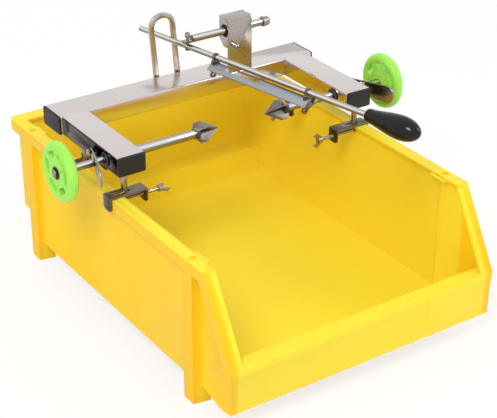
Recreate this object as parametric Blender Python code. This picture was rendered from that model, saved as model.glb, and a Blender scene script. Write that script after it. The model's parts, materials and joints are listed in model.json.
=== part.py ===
"""Hand-turned pineapple peeler, clamped on the rim of a hopper-front catch bin.

A U-shaped frame of square tube carries two pronged spindles with handwheels. A knife rod with a
curved peeling blade hangs from a support rod in a rear tower, and its tail runs in a guide loop.

Metres, +X to the right, +Y to the back, +Z up. The origin is on the floor below the middle of
the bin. Left and right are as seen from the open front of the bin.
"""

import math

import bmesh
import bpy
from mathutils import Matrix, Vector

# General fits
GAP = 0.0003                      # clearance between pieces that touch
OVERRUN = 0.002                   # how far a cutter passes a face
WELD_DIST = 0.00001               # merge distance at the poles of turned shapes

# Catch bin
BIN_LENGTH = 0.541                # front lip to rear rim
RIM_BESIDE_ARM = 0.004            # rim's outer face outside the arm's
BIN_HEIGHT = 0.1915               # floor to rim top
BIN_WALL = 0.004
BODY_LIFT = 0.025                 # underside of the bin body above the floor
SIDE_RECESS = 0.008               # side wall inside the rim's outer face
BACK_RECESS = 0.013
RIM_WIDTH = 0.017
BACK_RIM_WIDTH = 0.021
RIM_DEPTH = 0.015
RIM_TOP_THICKNESS = 0.004
RIM_SKIRT = 0.003
RIM_FRONT = 0.057                 # rim's front corner behind the lip
RIM_CORNER = 0.010
LIP_HEIGHT = 0.067                # lip top above the underside
LIP_BAND = 0.018
LIP_SKIRT = 0.012
FRONT_RAKE = 0.0015               # front wall's foot behind the lip
FRONT_SCOOP = 0.003               # side wall drawn in ahead of the front pillar
FRONT_FLARE = 0.0074              # side wall spread out at the front corner
TOE_LENGTH = 0.024                # underside sloped up behind the front wall
TOE_RISE = 0.006
BACK_STEP_HEIGHT = 0.036
BACK_STEP_DEPTH = 0.029
PILLAR_WIDTH = 0.020
PILLAR_DEPTH = 0.022
PILLAR_FLANK = 0.004
PILLAR_WALL = 0.0027
SOCKET_RADIUS = 0.0045            # stacking dimple over a pillar
SOCKET_DEPTH = 0.0025
FRONT_PILLAR = 0.0895             # front pillar's middle behind the lip
REAR_PILLAR = 0.0555              # rear pillar's middle ahead of the rear rim
RIB_WIDTH = 0.003
RIB_PROUD = 0.0012
RIB_PLACE = 0.093                 # rib right of the bin's middle
RIB_DROP = 0.038

# Square-tube frame
TUBE_WIDTH = 0.038
TUBE_HEIGHT = 0.025
TUBE_WALL = 0.0015
TUBE_CORNER = 0.0025
BORE_CORNER = 0.0012
FRAME_WIDTH = 0.380
FRAME_LIFT = 0.0305               # tube underside above the rim
FRAME_OFFSET = 0.003              # frame's middle to the right of the bin's
ARM_LENGTH = 0.1424
FRAME_FRONT = 0.2505              # arm's front end behind the lip
RAIL_WIDTH = 0.045
LEFT_OVERHANG = 0.0042
RIGHT_OVERHANG = 0.0096
CAP_PLATE = 0.0025
CAP_PLUG = 0.010
CAP_BEVEL = 0.001
CAP_WALL = 0.002

# Spindles and handwheels
SPINDLE_SETBACK = 0.032           # axis behind the arm's front end
SLEEVE_RADIUS = 0.0047
CORE_RADIUS = 0.0030
SHAFT_RADIUS = 0.0061
BUSH_WALL = 0.0020
BUSH_FLANGE = 0.0020
BUSH_FLANGE_THICKNESS = 0.0012
BUSH_LENGTH = 0.0045
WHEEL_RADIUS = 0.0375
WHEEL_WIDTH = 0.0145
WHEEL_ROUND = 0.005
WHEEL_DISH = 0.0015
WHEEL_RIM = 0.008
HUB_RADIUS = 0.0130
WHEEL_HOLES = 6
HOLE_RADIUS = 0.0042
HOLE_REACH = 0.0055               # from an oval hole's middle to its end centres
HOLE_CIRCLE = 0.0228
HUB_RING_RADIUS = 0.0078
HUB_RING_THICKNESS = 0.0012
NUT_RADIUS = 0.0055
NUT_THICKNESS = 0.0022
LEFT_WHEEL_OUT = 0.0598           # wheel's middle outside the arm
RIGHT_WHEEL_OUT = 0.0460
LEFT_STUB = 0.0003                # thread that stands out of the nut
RIGHT_STUB = 0.0060
LEFT_REACH = 0.0880               # prong hub's back inside the arm's inner wall
RIGHT_REACH = 0.0750
SHOULDER_INSET = 0.020            # shaft shoulder inside the left arm's outer wall
PRONG_RADIUS = 0.0140
PRONG_LENGTH = 0.030
PRONG_SHOULDER = 0.009
PRONG_THICKNESS = 0.0022
PRONG_HUB = 0.0075
PRONG_HUB_LENGTH = 0.005

# Lock plates on the sleeves
LOCK_FRONT_RADIUS = 0.012
LOCK_TAIL_RADIUS = 0.0060
LOCK_THICKNESS = 0.0022
LOCK_FRONT = 0.050                # front end ahead of the spindle axis
LOCK_REAR = 0.0275                # fulcrum behind the spindle axis
LOCK_TAIL = 0.0050                # plate behind the fulcrum
LOCK_STANDOFF = 0.0025
LEFT_LOCK_TILT = math.radians(20.5)
RIGHT_LOCK_TILT = math.radians(15.0)
LOCK_HOLE_EASE = 0.0020
STUD_RADIUS = 0.0022
STUD_HEAD_RADIUS = 0.0040
STUD_HEAD = 0.0020
STUD_EASE = 0.0008
STUD_PLAY = 0.0024                # room for the tilt below the stud's head

# Rear tower
TOWER_WIDTH = 0.0375
TOWER_HEIGHT = 0.076
TOWER_PLATE = 0.003
TOWER_SHIFT = 0.07875             # tower's middle right of the frame's middle
TOWER_ROUND = 0.006
HEAD_DEPTH = 0.0226
HEAD_HEIGHT = 0.041
HEAD_CHAMFER = 0.010
PEG_RADIUS = 0.0030
PEG_LENGTH = 0.013
PEG_ROUND = 0.0008
PEG_INSET = 0.0065                # peg axis from the head's left edge
PEG_HEIGHT = 0.041

# Support rod and its bush
SUPPORT_RADIUS = 0.0050
SUPPORT_SETBACK = 0.0096          # axis behind the tower's front face
SUPPORT_HEIGHT = 0.058            # axis above the frame's top
PIVOT_BUSH_WALL = 0.0030
PIVOT_PROUD = 0.0008              # bush beyond the head's left face
PIVOT_END = 0.001                 # bush beyond the head's right face
PIN_LEFT = 0.0577                 # knife pin left of the tower
FLAT_THICKNESS = 0.004
FLAT_END = 0.0063                 # rod's end beyond the pin
FLAT_LENGTH = 0.0065              # flat's other end beyond the pin
SUPPORT_TAIL = 0.030              # rod's end right of the tower
STOP_NUT_RADIUS = 0.0070
STOP_NUT_START = 0.022            # nut right of the tower
STOP_NUT_LENGTH = 0.007
DOME_LENGTH = 0.006
PIN_RADIUS = 0.0018
PIN_HEAD_RADIUS = 0.0036
PIN_HEAD = 0.0060
PIN_NECK = 0.0045                 # head above the flat
PIN_SOCKET = 0.0017
PIN_SOCKET_DEPTH = 0.003
PIN_NUT_RADIUS = 0.0036
PIN_NUT = 0.0012

# Knife rod, brackets, blade and handle; distances run from the pin towards the handle
KNIFE_YAW = math.radians(12.0)    # handle swung to the right of straight ahead
KNIFE_RADIUS = 0.00375
KNIFE_TAIL = 0.0915
REAR_BRACKET = 0.052
FRONT_BRACKET = 0.2107
HANDLE_START = 0.3045
HANDLE_LENGTH = 0.0775
HANDLE_NECK = 0.0090
HANDLE_TENON = 0.045
BRACKET_THICKNESS = 0.003
COLLAR_RADIUS = 0.0055
BRACKET_LEFT = 0.0070
BRACKET_RIGHT = 0.0065
SHOULDER_DROP = 0.0040
BRACKET_DROP = 0.0193
WING_REACH = 0.0150
WING_TOP = 0.0080
WING_ROUND = 0.0030
EAR_RADIUS = 0.0048
EAR_LEFT = 0.0047
EAR_DROP = 0.0225
EAR_HOLE = 0.0025
BOLT_RIGHT = 0.0103
BOLT_DROP = 0.0140
BOLT_RADIUS = 0.0018
BOLT_HEAD_RADIUS = 0.0034
BOLT_HEAD = 0.0026
BOLT_TAIL = 0.0040
BLADE_WIDTH = 0.0140
BLADE_THICKNESS = 0.0015
BLADE_RIGHT = 0.0010              # blade's right edge left of the rod's axis
BLADE_DROP = 0.0060               # that edge below the rod's axis
BLADE_TILT = math.radians(35.0)
BLADE_BOW = 0.0010                # hollow of the blade across its width
BLADE_STEPS = 6
BLADE_REAR = 0.0035               # blade past the rear bracket
BLADE_FRONT = 0.0025              # blade past the front bracket
SLOT_WIDTH = 0.0050
SLOT_REAR = 0.026                 # solid blade behind the slot
SLOT_FRONT = 0.083
SLOT_INSET = 0.0014

# Guide loop behind the rail
LOOP_BAR = 0.0075
LOOP_THICKNESS = 0.004
LOOP_GAP = 0.025
LOOP_TOP = 0.0872                 # outer top above the frame's top
LOOP_FOOT = 0.020                 # feet below the frame's top
LOOP_LEFT = 0.0080                # loop's foot left of the frame's middle
LOOP_LEAN = math.radians(-5.0)
LOOP_ROUND = 0.0185

# Bin clamps
CLAMP_WIDTH = 0.018
CLAMP_PLATE = 0.0025
JAW_THICKNESS = 0.0026
JAW_DROP = 0.0165                 # jaws below the rim's top
JAW_ROUND = 0.005
CLAMP_SPAN = 0.050                # inner jaw's inner face inside the rim
FRONT_CLAMP = 0.015               # clamp's middle behind the arm's front end
REAR_CLAMP = 0.115
POST_RADIUS = 0.004
POST_INSET = 0.0145               # post inside the arm's outer face
SLOT_HALF = 0.009                 # half length of the clamp's slot
SLOT_RADIUS = 0.0025
SLOT_PLACE = 0.0188               # slot's middle inside the rim's outer face
SCREW_DROP = 0.0075               # wing screw axis below the rim's top
SCREW_RADIUS = 0.0022
PAD_RADIUS = 0.0031
PAD_THICKNESS = 0.0030
HUB_OUT = 0.0190                  # wing hub from the inner jaw
WING_HUB_RADIUS = 0.0042
WING_HUB_LENGTH = 0.006
WING_SPAN = 0.0110
WING_LENGTH = 0.0130
WING_THICKNESS = 0.0022
WING_TIP = 0.0040

# Smoothness of round pieces
ROUND_STEPS = 20
SMALL_STEPS = 12
WHEEL_STEPS = 32
BEND_STEPS = 4
HEX_STEPS = 6

# Shares
HANDLE_SHARES = ((0.0, 0.0), (0.0, 0.82), (0.03, 0.95), (0.12, 1.02), (0.28, 1.24), (0.45, 1.50),
                 (0.62, 1.64), (0.76, 1.56), (0.87, 1.28), (0.95, 0.84), (0.99, 0.40), (1.0, 0.0))
WING_BEND_SHARE = 0.55

# Places that several pieces share
LIP_Y = -BIN_LENGTH / 2
BACK_Y = BIN_LENGTH / 2
LIP_Z = BODY_LIFT + LIP_HEIGHT
RIM_Z = BIN_HEIGHT
RIM_FRONT_Y = LIP_Y + RIM_FRONT
FRAME_BOTTOM = RIM_Z + FRAME_LIFT
FRAME_TOP = FRAME_BOTTOM + TUBE_HEIGHT
FRONT_Y = LIP_Y + FRAME_FRONT
RAIL_FRONT_Y = FRONT_Y + ARM_LENGTH
RAIL_BACK_Y = RAIL_FRONT_Y + RAIL_WIDTH
ARM_OUTER = FRAME_WIDTH / 2
BIN_HALF_WIDTH = ARM_OUTER + RIM_BESIDE_ARM
SPINDLE_Y = FRONT_Y + SPINDLE_SETBACK
SPINDLE_Z = FRAME_TOP - TUBE_HEIGHT / 2
TOWER_LEFT = FRAME_OFFSET + TOWER_SHIFT - TOWER_WIDTH / 2
TOWER_RIGHT = TOWER_LEFT + TOWER_WIDTH
SUPPORT_Y = RAIL_FRONT_Y + SUPPORT_SETBACK
SUPPORT_Z = FRAME_TOP + SUPPORT_HEIGHT
PIN_X = TOWER_LEFT - PIN_LEFT
KNIFE_DROP = SUPPORT_RADIUS + GAP + KNIFE_RADIUS
SIDES = (("left", -1), ("right", 1))


def clear_scene():
    """Remove every object of the scene."""
    for item in list(bpy.data.objects):
        bpy.data.objects.remove(item, do_unlink=True)


def material(name, colour, roughness, metallic):
    """Return a Principled material with a plain colour."""
    made = bpy.data.materials.new(name)
    made.use_nodes = True
    shader = made.node_tree.nodes["Principled BSDF"]
    shader.inputs["Base Color"].default_value = (*colour, 1.0)
    shader.inputs["Roughness"].default_value = roughness
    shader.inputs["Metallic"].default_value = metallic
    return made


def place(name, shape, look=None, at=(0.0, 0.0, 0.0), turn=(0.0, 0.0, 0.0), parent=None):
    """Turn a bmesh, modelled about its own origin, into a smooth-shaded object at its place.

    Without a look it becomes a hidden operand.
    """
    bmesh.ops.recalc_face_normals(shape, faces=shape.faces)
    mesh = bpy.data.meshes.new(name)
    shape.to_mesh(mesh)
    shape.free()
    mesh.shade_smooth()
    mesh.set_sharp_from_angle(angle=math.radians(35.0))
    made = bpy.data.objects.new(name, mesh)
    bpy.context.collection.objects.link(made)
    made.location = at
    made.rotation_euler = turn
    made.parent = parent
    if look is None:
        made.hide_render = True
        made.display_type = "WIRE"
    else:
        mesh.materials.append(look)
    return made


def combine(target, tool, operation):
    """Give the target an exact Boolean with the hidden tool."""
    step = target.modifiers.new(tool.name, "BOOLEAN")
    step.operation = operation
    step.solver = "EXACT"
    step.object = tool


def cut(target, tool):
    """Cut the hidden tool out of the target."""
    combine(target, tool, "DIFFERENCE")


def join(target, tool):
    """Make one body of the target and the hidden tool."""
    combine(target, tool, "UNION")


def empty(name, at, turn=(0.0, 0.0, 0.0)):
    """Return an empty that carries a moving group."""
    made = bpy.data.objects.new(name, None)
    made.empty_display_size = TUBE_WIDTH
    made.location = at
    made.rotation_euler = turn
    bpy.context.collection.objects.link(made)
    return made


def prism(shape, outline, normal, start, end):
    """Extrude a closed outline between two levels along the X, Y or Z axis.

    Outline pairs are (Y, Z) for X, (X, Z) for Y and (X, Y) for Z.
    """
    def point(pair, level):
        if normal == "X":
            return Vector((level, pair[0], pair[1]))
        if normal == "Y":
            return Vector((pair[0], level, pair[1]))
        return Vector((pair[0], pair[1], level))

    corners = [shape.verts.new(point(pair, start)) for pair in outline]
    face = shape.faces.new(corners)
    grown = bmesh.ops.extrude_face_region(shape, geom=[face])["geom"]
    moved = [item for item in grown if isinstance(item, bmesh.types.BMVert)]
    bmesh.ops.translate(shape, verts=moved, vec=point((0.0, 0.0), end - start))
    return shape


def new_prism(outline, normal, start, end):
    """Return a bmesh that holds one prism."""
    return prism(bmesh.new(), outline, normal, start, end)


def rectangle(one, other, low, high):
    """Return the four corners of a rectangle, with the first two levels in either order."""
    left, right = sorted((one, other))
    return [(left, low), (right, low), (right, high), (left, high)]


def arc(middle, radius, start, end, steps):
    """Return points along an arc, with angles in degrees."""
    points = []
    for index in range(steps + 1):
        angle = math.radians(start + (end - start) * index / steps)
        points.append((middle[0] + radius * math.cos(angle), middle[1] + radius * math.sin(angle)))
    return points


def rounded(left, right, low, high, radius, steps=BEND_STEPS):
    """Return a rectangle with round corners."""
    return (arc((right - radius, high - radius), radius, 0, 90, steps)
            + arc((left + radius, high - radius), radius, 90, 180, steps)
            + arc((left + radius, low + radius), radius, 180, 270, steps)
            + arc((right - radius, low + radius), radius, 270, 360, steps))


def add_cylinder(shape, radius, start, end, steps=ROUND_STEPS, along="X", off=(0.0, 0.0)):
    """Add a closed cylinder between two levels, with its axis at the given offset pair."""
    turns = {"X": Matrix.Rotation(math.pi / 2, 4, "Y"), "Y": Matrix.Rotation(math.pi / 2, 4, "X"),
             "Z": Matrix.Identity(4)}
    level = (start + end) / 2
    middles = {"X": Vector((level, off[0], off[1])), "Y": Vector((off[0], level, off[1])),
               "Z": Vector((off[0], off[1], level))}
    bmesh.ops.create_cone(shape, cap_ends=True, segments=steps, radius1=radius, radius2=radius,
                          depth=abs(end - start),
                          matrix=Matrix.Translation(middles[along]) @ turns[along])
    return shape


def new_cylinder(radius, start, end, steps=ROUND_STEPS, along="X", off=(0.0, 0.0)):
    """Return a bmesh that holds one cylinder."""
    return add_cylinder(bmesh.new(), radius, start, end, steps, along, off)


def turned(profile, steps=ROUND_STEPS, along="X", closed=False):
    """Spin (distance, radius) pairs about an axis through the origin into a closed body.

    A closed profile is a ring that stays off the axis.
    """
    shape = bmesh.new()
    axes = {"X": Vector((1.0, 0.0, 0.0)), "Y": Vector((0.0, 1.0, 0.0)),
            "Z": Vector((0.0, 0.0, 1.0))}
    away = Vector((0.0, 0.0, 1.0)) if along != "Z" else Vector((1.0, 0.0, 0.0))
    verts = [shape.verts.new(axes[along] * distance + away * radius)
             for distance, radius in profile]
    edges = [shape.edges.new(pair) for pair in zip(verts, verts[1:])]
    if closed:
        edges.append(shape.edges.new((verts[-1], verts[0])))
    bmesh.ops.spin(shape, geom=verts + edges, cent=(0.0, 0.0, 0.0), axis=axes[along],
                   angle=math.tau, steps=steps, use_merge=True)
    bmesh.ops.remove_doubles(shape, verts=shape.verts, dist=WELD_DIST)
    return shape


def ring(outer, inner, start, end, steps=ROUND_STEPS, along="X"):
    """Return a plain tube between two levels of an axis."""
    profile = [(start, inner), (end, inner), (end, outer), (start, outer)]
    return turned(profile, steps, along, closed=True)


def hexagon(radius):
    """Return a nut's outline."""
    return arc((0.0, 0.0), radius, 0, 300, HEX_STEPS - 1)


def bevel_edges(shape, chosen, radius, steps):
    """Round the edges whose two end points pass the test."""
    picked = [edge for edge in shape.edges if chosen(edge.verts[0].co, edge.verts[1].co)]
    bmesh.ops.bevel(shape, geom=picked, offset=radius, segments=steps, profile=0.5,
                    affect="EDGES")


def square_tube(name, look, along, start, end, middle, width=TUBE_WIDTH):
    """Model a hollow tube, open at both ends, along X or Y, with its axis at the middle pair."""
    half = TUBE_HEIGHT / 2
    wide = width / 2
    outer = rounded(middle[0] - wide, middle[0] + wide, middle[1] - half, middle[1] + half,
                    TUBE_CORNER)
    inner = rounded(middle[0] - wide + TUBE_WALL, middle[0] + wide - TUBE_WALL,
                    middle[1] - half + TUBE_WALL, middle[1] + half - TUBE_WALL, BORE_CORNER)
    body = place(name, new_prism(outer, along, start, end), look)
    bore = place(name + "_bore", new_prism(inner, along, start - OVERRUN, end + OVERRUN))
    cut(body, bore)
    return body


def wall_plan(inset):
    """Return the bin wall's plan, at an inset from its outside.

    The side walls are drawn in just ahead of the front pillars and flare out to the corner.
    """
    wide = BIN_HALF_WIDTH - SIDE_RECESS - inset
    drawn = wide - FRONT_SCOOP
    pillar = LIP_Y + FRONT_PILLAR
    front = LIP_Y - OVERRUN + inset
    back = BACK_Y - BACK_RECESS - inset
    right = [(wide + FRONT_FLARE, front), (drawn, pillar - PILLAR_FLANK), (drawn, pillar),
             (wide, pillar + PILLAR_FLANK), (wide, back)]
    return right + [(-x, y) for x, y in reversed(right)]


def side_profile(inset, top):
    """Return the bin wall's outline from the side at an inset, as (Y, Z) pairs."""
    step = BACK_Y - BACK_RECESS - BACK_STEP_DEPTH - inset
    back = BACK_Y - BACK_RECESS - inset
    floor = BODY_LIFT + inset
    ledge = BODY_LIFT + BACK_STEP_HEIGHT + inset
    return [(LIP_Y + FRONT_RAKE + inset, floor + TOE_RISE), (LIP_Y + TOE_LENGTH + inset, floor),
            (step, floor), (step, ledge), (back, ledge), (back, top), (LIP_Y + inset, top),
            (LIP_Y + inset, LIP_Z)]


def across(name, outline):
    """Place a hidden operand that spans the whole bin from side to side."""
    return place(name, new_prism(outline, "X", -BIN_HALF_WIDTH - OVERRUN,
                                 BIN_HALF_WIDTH + OVERRUN))


def model_bin(look):
    """Model the catch bin as one moulding: walls, rim, slanted cheeks, lip and pillar feet."""
    name = "catch_bin"
    body = place(name, new_prism(wall_plan(0.0), "Z", BODY_LIFT - OVERRUN, RIM_Z), look)
    combine(body, across(name + "_side", side_profile(0.0, RIM_Z + OVERRUN)), "INTERSECT")
    join(body, place(name + "_rim", new_prism(
        rounded(-BIN_HALF_WIDTH, BIN_HALF_WIDTH, LIP_Y - RIM_CORNER, BACK_Y, RIM_CORNER), "Z",
        RIM_Z - RIM_DEPTH, RIM_Z)))

    groove_top = RIM_Z - RIM_TOP_THICKNESS
    groove_low = RIM_Z - RIM_DEPTH - OVERRUN
    grooves = bmesh.new()
    for side in (-1, 1):
        prism(grooves, rectangle(side * (BIN_HALF_WIDTH - SIDE_RECESS),
                                 side * (BIN_HALF_WIDTH - RIM_SKIRT),
                                 LIP_Y + FRONT_PILLAR, BACK_Y - BACK_RECESS - OVERRUN), "Z",
              groove_low, groove_top)
    cut(body, place(name + "_side_grooves", grooves))
    cut(body, place(name + "_back_groove", new_prism(
        rectangle(-BIN_HALF_WIDTH + SIDE_RECESS, BIN_HALF_WIDTH - SIDE_RECESS,
                  BACK_Y - BACK_RECESS, BACK_Y - RIM_SKIRT), "Z", groove_low, groove_top)))

    cavity = place(name + "_cavity",
                   new_prism(wall_plan(BIN_WALL), "Z", BODY_LIFT, groove_top))
    combine(cavity, across(name + "_cavity_side", side_profile(BIN_WALL, RIM_Z)), "INTERSECT")
    cut(body, cavity)
    inner = BIN_HALF_WIDTH - RIM_WIDTH
    cut(body, place(name + "_mouth", new_prism(
        rectangle(-inner, inner, RIM_FRONT_Y - RIM_WIDTH, BACK_Y - BACK_RIM_WIDTH), "Z",
        groove_top - OVERRUN, RIM_Z + OVERRUN)))
    cut(body, across(name + "_slant", [
        (LIP_Y - RIM_WIDTH, LIP_Z), (LIP_Y, LIP_Z), (RIM_FRONT_Y, RIM_Z),
        (RIM_FRONT_Y, RIM_Z + OVERRUN), (LIP_Y - RIM_WIDTH, RIM_Z + OVERRUN)]))
    cut(body, across(name + "_nose", rectangle(LIP_Y - RIM_WIDTH, LIP_Y + BIN_WALL, LIP_Z,
                                               RIM_Z + OVERRUN)))

    lean = Vector((RIM_FRONT, RIM_Z - LIP_Z)).normalized()
    inward = Vector((lean.y, -lean.x))
    for side_name, side in SIDES:
        outer = side * BIN_HALF_WIDTH
        for strip, far, depth in (("flange", side * inner, RIM_TOP_THICKNESS),
                                  ("skirt", side * (BIN_HALF_WIDTH - RIM_SKIRT), RIM_DEPTH)):
            low = Vector((LIP_Y, LIP_Z)) + inward * depth
            high = Vector((RIM_FRONT_Y, RIM_Z)) + inward * depth
            outline = [(LIP_Y, LIP_Z - RIM_TOP_THICKNESS), (LIP_Y, LIP_Z), (RIM_FRONT_Y, RIM_Z),
                       (RIM_FRONT_Y + depth, RIM_Z), tuple(high), tuple(low)]
            first, last = sorted((outer, far))
            join(body, place(f"{name}_{side_name}_{strip}",
                             new_prism(outline, "X", first, last)))

    join(body, place(name + "_lip", new_prism(
        [(LIP_Y, LIP_Z - LIP_SKIRT), (LIP_Y, LIP_Z), (LIP_Y + LIP_BAND, LIP_Z),
         (LIP_Y + LIP_BAND, LIP_Z - BIN_WALL), (LIP_Y + BIN_WALL, LIP_Z - BIN_WALL),
         (LIP_Y + BIN_WALL, LIP_Z - LIP_SKIRT)], "X", -BIN_HALF_WIDTH, BIN_HALF_WIDTH)))
    join(body, place(name + "_rib", new_prism(
        rectangle(LIP_Y - RIB_PROUD, LIP_Y + BIN_WALL / 2, LIP_Z - RIB_DROP, LIP_Z - BIN_WALL),
        "X", RIB_PLACE, RIB_PLACE + RIB_WIDTH)))

    pillars = bmesh.new()
    pockets = bmesh.new()
    sockets = bmesh.new()
    for side in (-1, 1):
        outer = side * BIN_HALF_WIDTH
        deep = side * (BIN_HALF_WIDTH - PILLAR_DEPTH)
        for middle in (LIP_Y + FRONT_PILLAR, BACK_Y - REAR_PILLAR):
            half = PILLAR_WIDTH / 2
            prism(pillars, [(outer, middle - half), (outer, middle + half),
                            (deep, middle + half + PILLAR_FLANK),
                            (deep, middle - half - PILLAR_FLANK)], "Z", 0.0,
                  RIM_Z - RIM_TOP_THICKNESS / 2)
            room = half - PILLAR_WALL
            prism(pockets, rectangle(outer - side * PILLAR_WALL, deep + side * PILLAR_WALL,
                                     middle - room, middle + room), "Z", -OVERRUN,
                  BODY_LIFT - PILLAR_WALL)
            add_cylinder(sockets, SOCKET_RADIUS, RIM_Z - SOCKET_DEPTH, RIM_Z + OVERRUN,
                         SMALL_STEPS, "Z", (side * (BIN_HALF_WIDTH - RIM_WIDTH / 2), middle))
    posts = place(name + "_pillars", pillars)
    cut(posts, cavity)
    join(body, posts)
    cut(body, place(name + "_pockets", pockets))
    cut(body, place(name + "_sockets", sockets))


def model_frame(steel, plastic):
    """Model the two arms, the rear rail and the plugs in their open ends."""
    for side_name, side in SIDES:
        middle_x = FRAME_OFFSET + side * (ARM_OUTER - TUBE_WIDTH / 2)
        arm = square_tube(f"{side_name}_arm", steel, "Y", FRONT_Y + CAP_PLATE + GAP,
                          RAIL_FRONT_Y - GAP, (middle_x, SPINDLE_Z))
        outer = FRAME_OFFSET + side * ARM_OUTER
        inner = outer - side * TUBE_WIDTH
        for place_name, wall, radius in (("outer", outer, SLEEVE_RADIUS),
                                         ("inner", inner, inner_bore_radius(side))):
            cut(arm, place(f"{side_name}_{place_name}_hole",
                           new_cylinder(radius + GAP + BUSH_WALL + GAP, -TUBE_WALL - OVERRUN,
                                        TUBE_WALL + OVERRUN), at=(wall, SPINDLE_Y, SPINDLE_Z)))
        cut(arm, place(f"{side_name}_stud_hole",
                       new_cylinder(STUD_RADIUS + GAP, -TUBE_WALL - OVERRUN,
                                    TUBE_WALL + OVERRUN, SMALL_STEPS),
                       at=(outer, SPINDLE_Y + LOCK_REAR, SPINDLE_Z)))
        end_cap(f"{side_name}_arm_cap", plastic, (middle_x, FRONT_Y, SPINDLE_Z), 0.0)

    rail_left = FRAME_OFFSET - ARM_OUTER - LEFT_OVERHANG
    rail_right = FRAME_OFFSET + ARM_OUTER + RIGHT_OVERHANG
    rail_y = (RAIL_FRONT_Y + RAIL_BACK_Y) / 2
    square_tube("rear_rail", steel, "X", rail_left + CAP_PLATE + GAP,
                rail_right - CAP_PLATE - GAP, (rail_y, SPINDLE_Z), RAIL_WIDTH)
    for (side_name, side), end_x in zip(SIDES, (rail_left, rail_right)):
        end_cap(f"{side_name}_rail_cap", plastic, (end_x, rail_y, SPINDLE_Z),
                side * math.pi / 2, RAIL_WIDTH)


def end_cap(name, look, at, turn, width=TUBE_WIDTH):
    """Model a plug whose plate covers a tube's end and whose hollow body sits in it."""
    wide = width / 2
    half = TUBE_HEIGHT / 2
    plate = new_prism(rounded(-wide, wide, -half, half, TUBE_CORNER), "Y", 0.0, CAP_PLATE)
    bevel_edges(plate, lambda one, two: max(one.y, two.y) < GAP, CAP_BEVEL, 1)
    cap = place(name, plate, look, at=at, turn=(0.0, 0.0, turn))
    wide -= TUBE_WALL + GAP
    half -= TUBE_WALL + GAP
    join(cap, place(name + "_plug", new_prism(
        rounded(-wide, wide, -half, half, BORE_CORNER), "Y", CAP_PLATE / 2,
        CAP_PLATE + CAP_PLUG), at=at, turn=(0.0, 0.0, turn)))
    wide -= CAP_WALL
    half -= CAP_WALL
    cut(cap, place(name + "_hollow", new_prism(
        rounded(-wide, wide, -half, half, BORE_CORNER), "Y", CAP_PLATE,
        CAP_PLATE + CAP_PLUG + OVERRUN), at=at, turn=(0.0, 0.0, turn)))


def inner_bore_radius(side):
    """Return the radius of what runs in an arm's inner bush: the thick shaft on the left."""
    return SHAFT_RADIUS if side < 0 else SLEEVE_RADIUS


def model_bushes(look):
    """Model the flanged bushes in the arms' side walls."""
    for side_name, side in SIDES:
        outer = FRAME_OFFSET + side * ARM_OUTER
        inner = outer - side * TUBE_WIDTH
        for place_name, wall, way, radius in (("outer", outer, side, SLEEVE_RADIUS),
                                              ("inner", inner, -side, inner_bore_radius(side))):
            bore = radius + GAP
            body = bore + BUSH_WALL
            face = GAP + BUSH_FLANGE_THICKNESS
            profile = [(-BUSH_LENGTH, bore), (face, bore), (face, body + BUSH_FLANGE),
                       (GAP, body + BUSH_FLANGE), (GAP, body), (-BUSH_LENGTH, body)]
            place(f"{side_name}_{place_name}_bush", turned(profile, closed=True), look,
                  at=(wall, SPINDLE_Y, SPINDLE_Z), turn=(0.0, 0.0, 0.0 if way > 0 else math.pi))


def wheel_shape(start, end):
    """Return a handwheel: a rounded rim, dished faces and a hub with the core shaft's bore."""
    bore = CORE_RADIUS + GAP
    inner_rim = WHEEL_RADIUS - WHEEL_RIM
    rim_level = WHEEL_RADIUS - WHEEL_ROUND
    start_face = start + WHEEL_DISH
    end_face = end - WHEEL_DISH
    profile = ([(start, bore), (start, HUB_RADIUS), (start_face, HUB_RADIUS + WHEEL_DISH),
                (start_face, inner_rim - WHEEL_DISH), (start, inner_rim)]
               + arc((start + WHEEL_ROUND, rim_level), WHEEL_ROUND, 180, 90, BEND_STEPS)
               + arc((end - WHEEL_ROUND, rim_level), WHEEL_ROUND, 90, 0, BEND_STEPS)
               + [(end, inner_rim), (end_face, inner_rim - WHEEL_DISH), (end_face, bore)])
    return turned(profile, WHEEL_STEPS, closed=True)


def wheel_holes(start, end):
    """Return the oval windows of a handwheel."""
    holes = bmesh.new()
    for index in range(WHEEL_HOLES):
        oval = (arc((HOLE_REACH, HOLE_CIRCLE), HOLE_RADIUS, -90, 90, SMALL_STEPS // 2)
                + arc((-HOLE_REACH, HOLE_CIRCLE), HOLE_RADIUS, 90, 270, SMALL_STEPS // 2))
        older = set(holes.verts)
        prism(holes, oval, "X", start - OVERRUN, end + OVERRUN)
        newer = [vert for vert in holes.verts if vert not in older]
        bmesh.ops.rotate(holes, verts=newer, cent=(0.0, 0.0, 0.0),
                         matrix=Matrix.Rotation(math.tau * index / WHEEL_HOLES, 3, "X"))
    return holes


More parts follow.
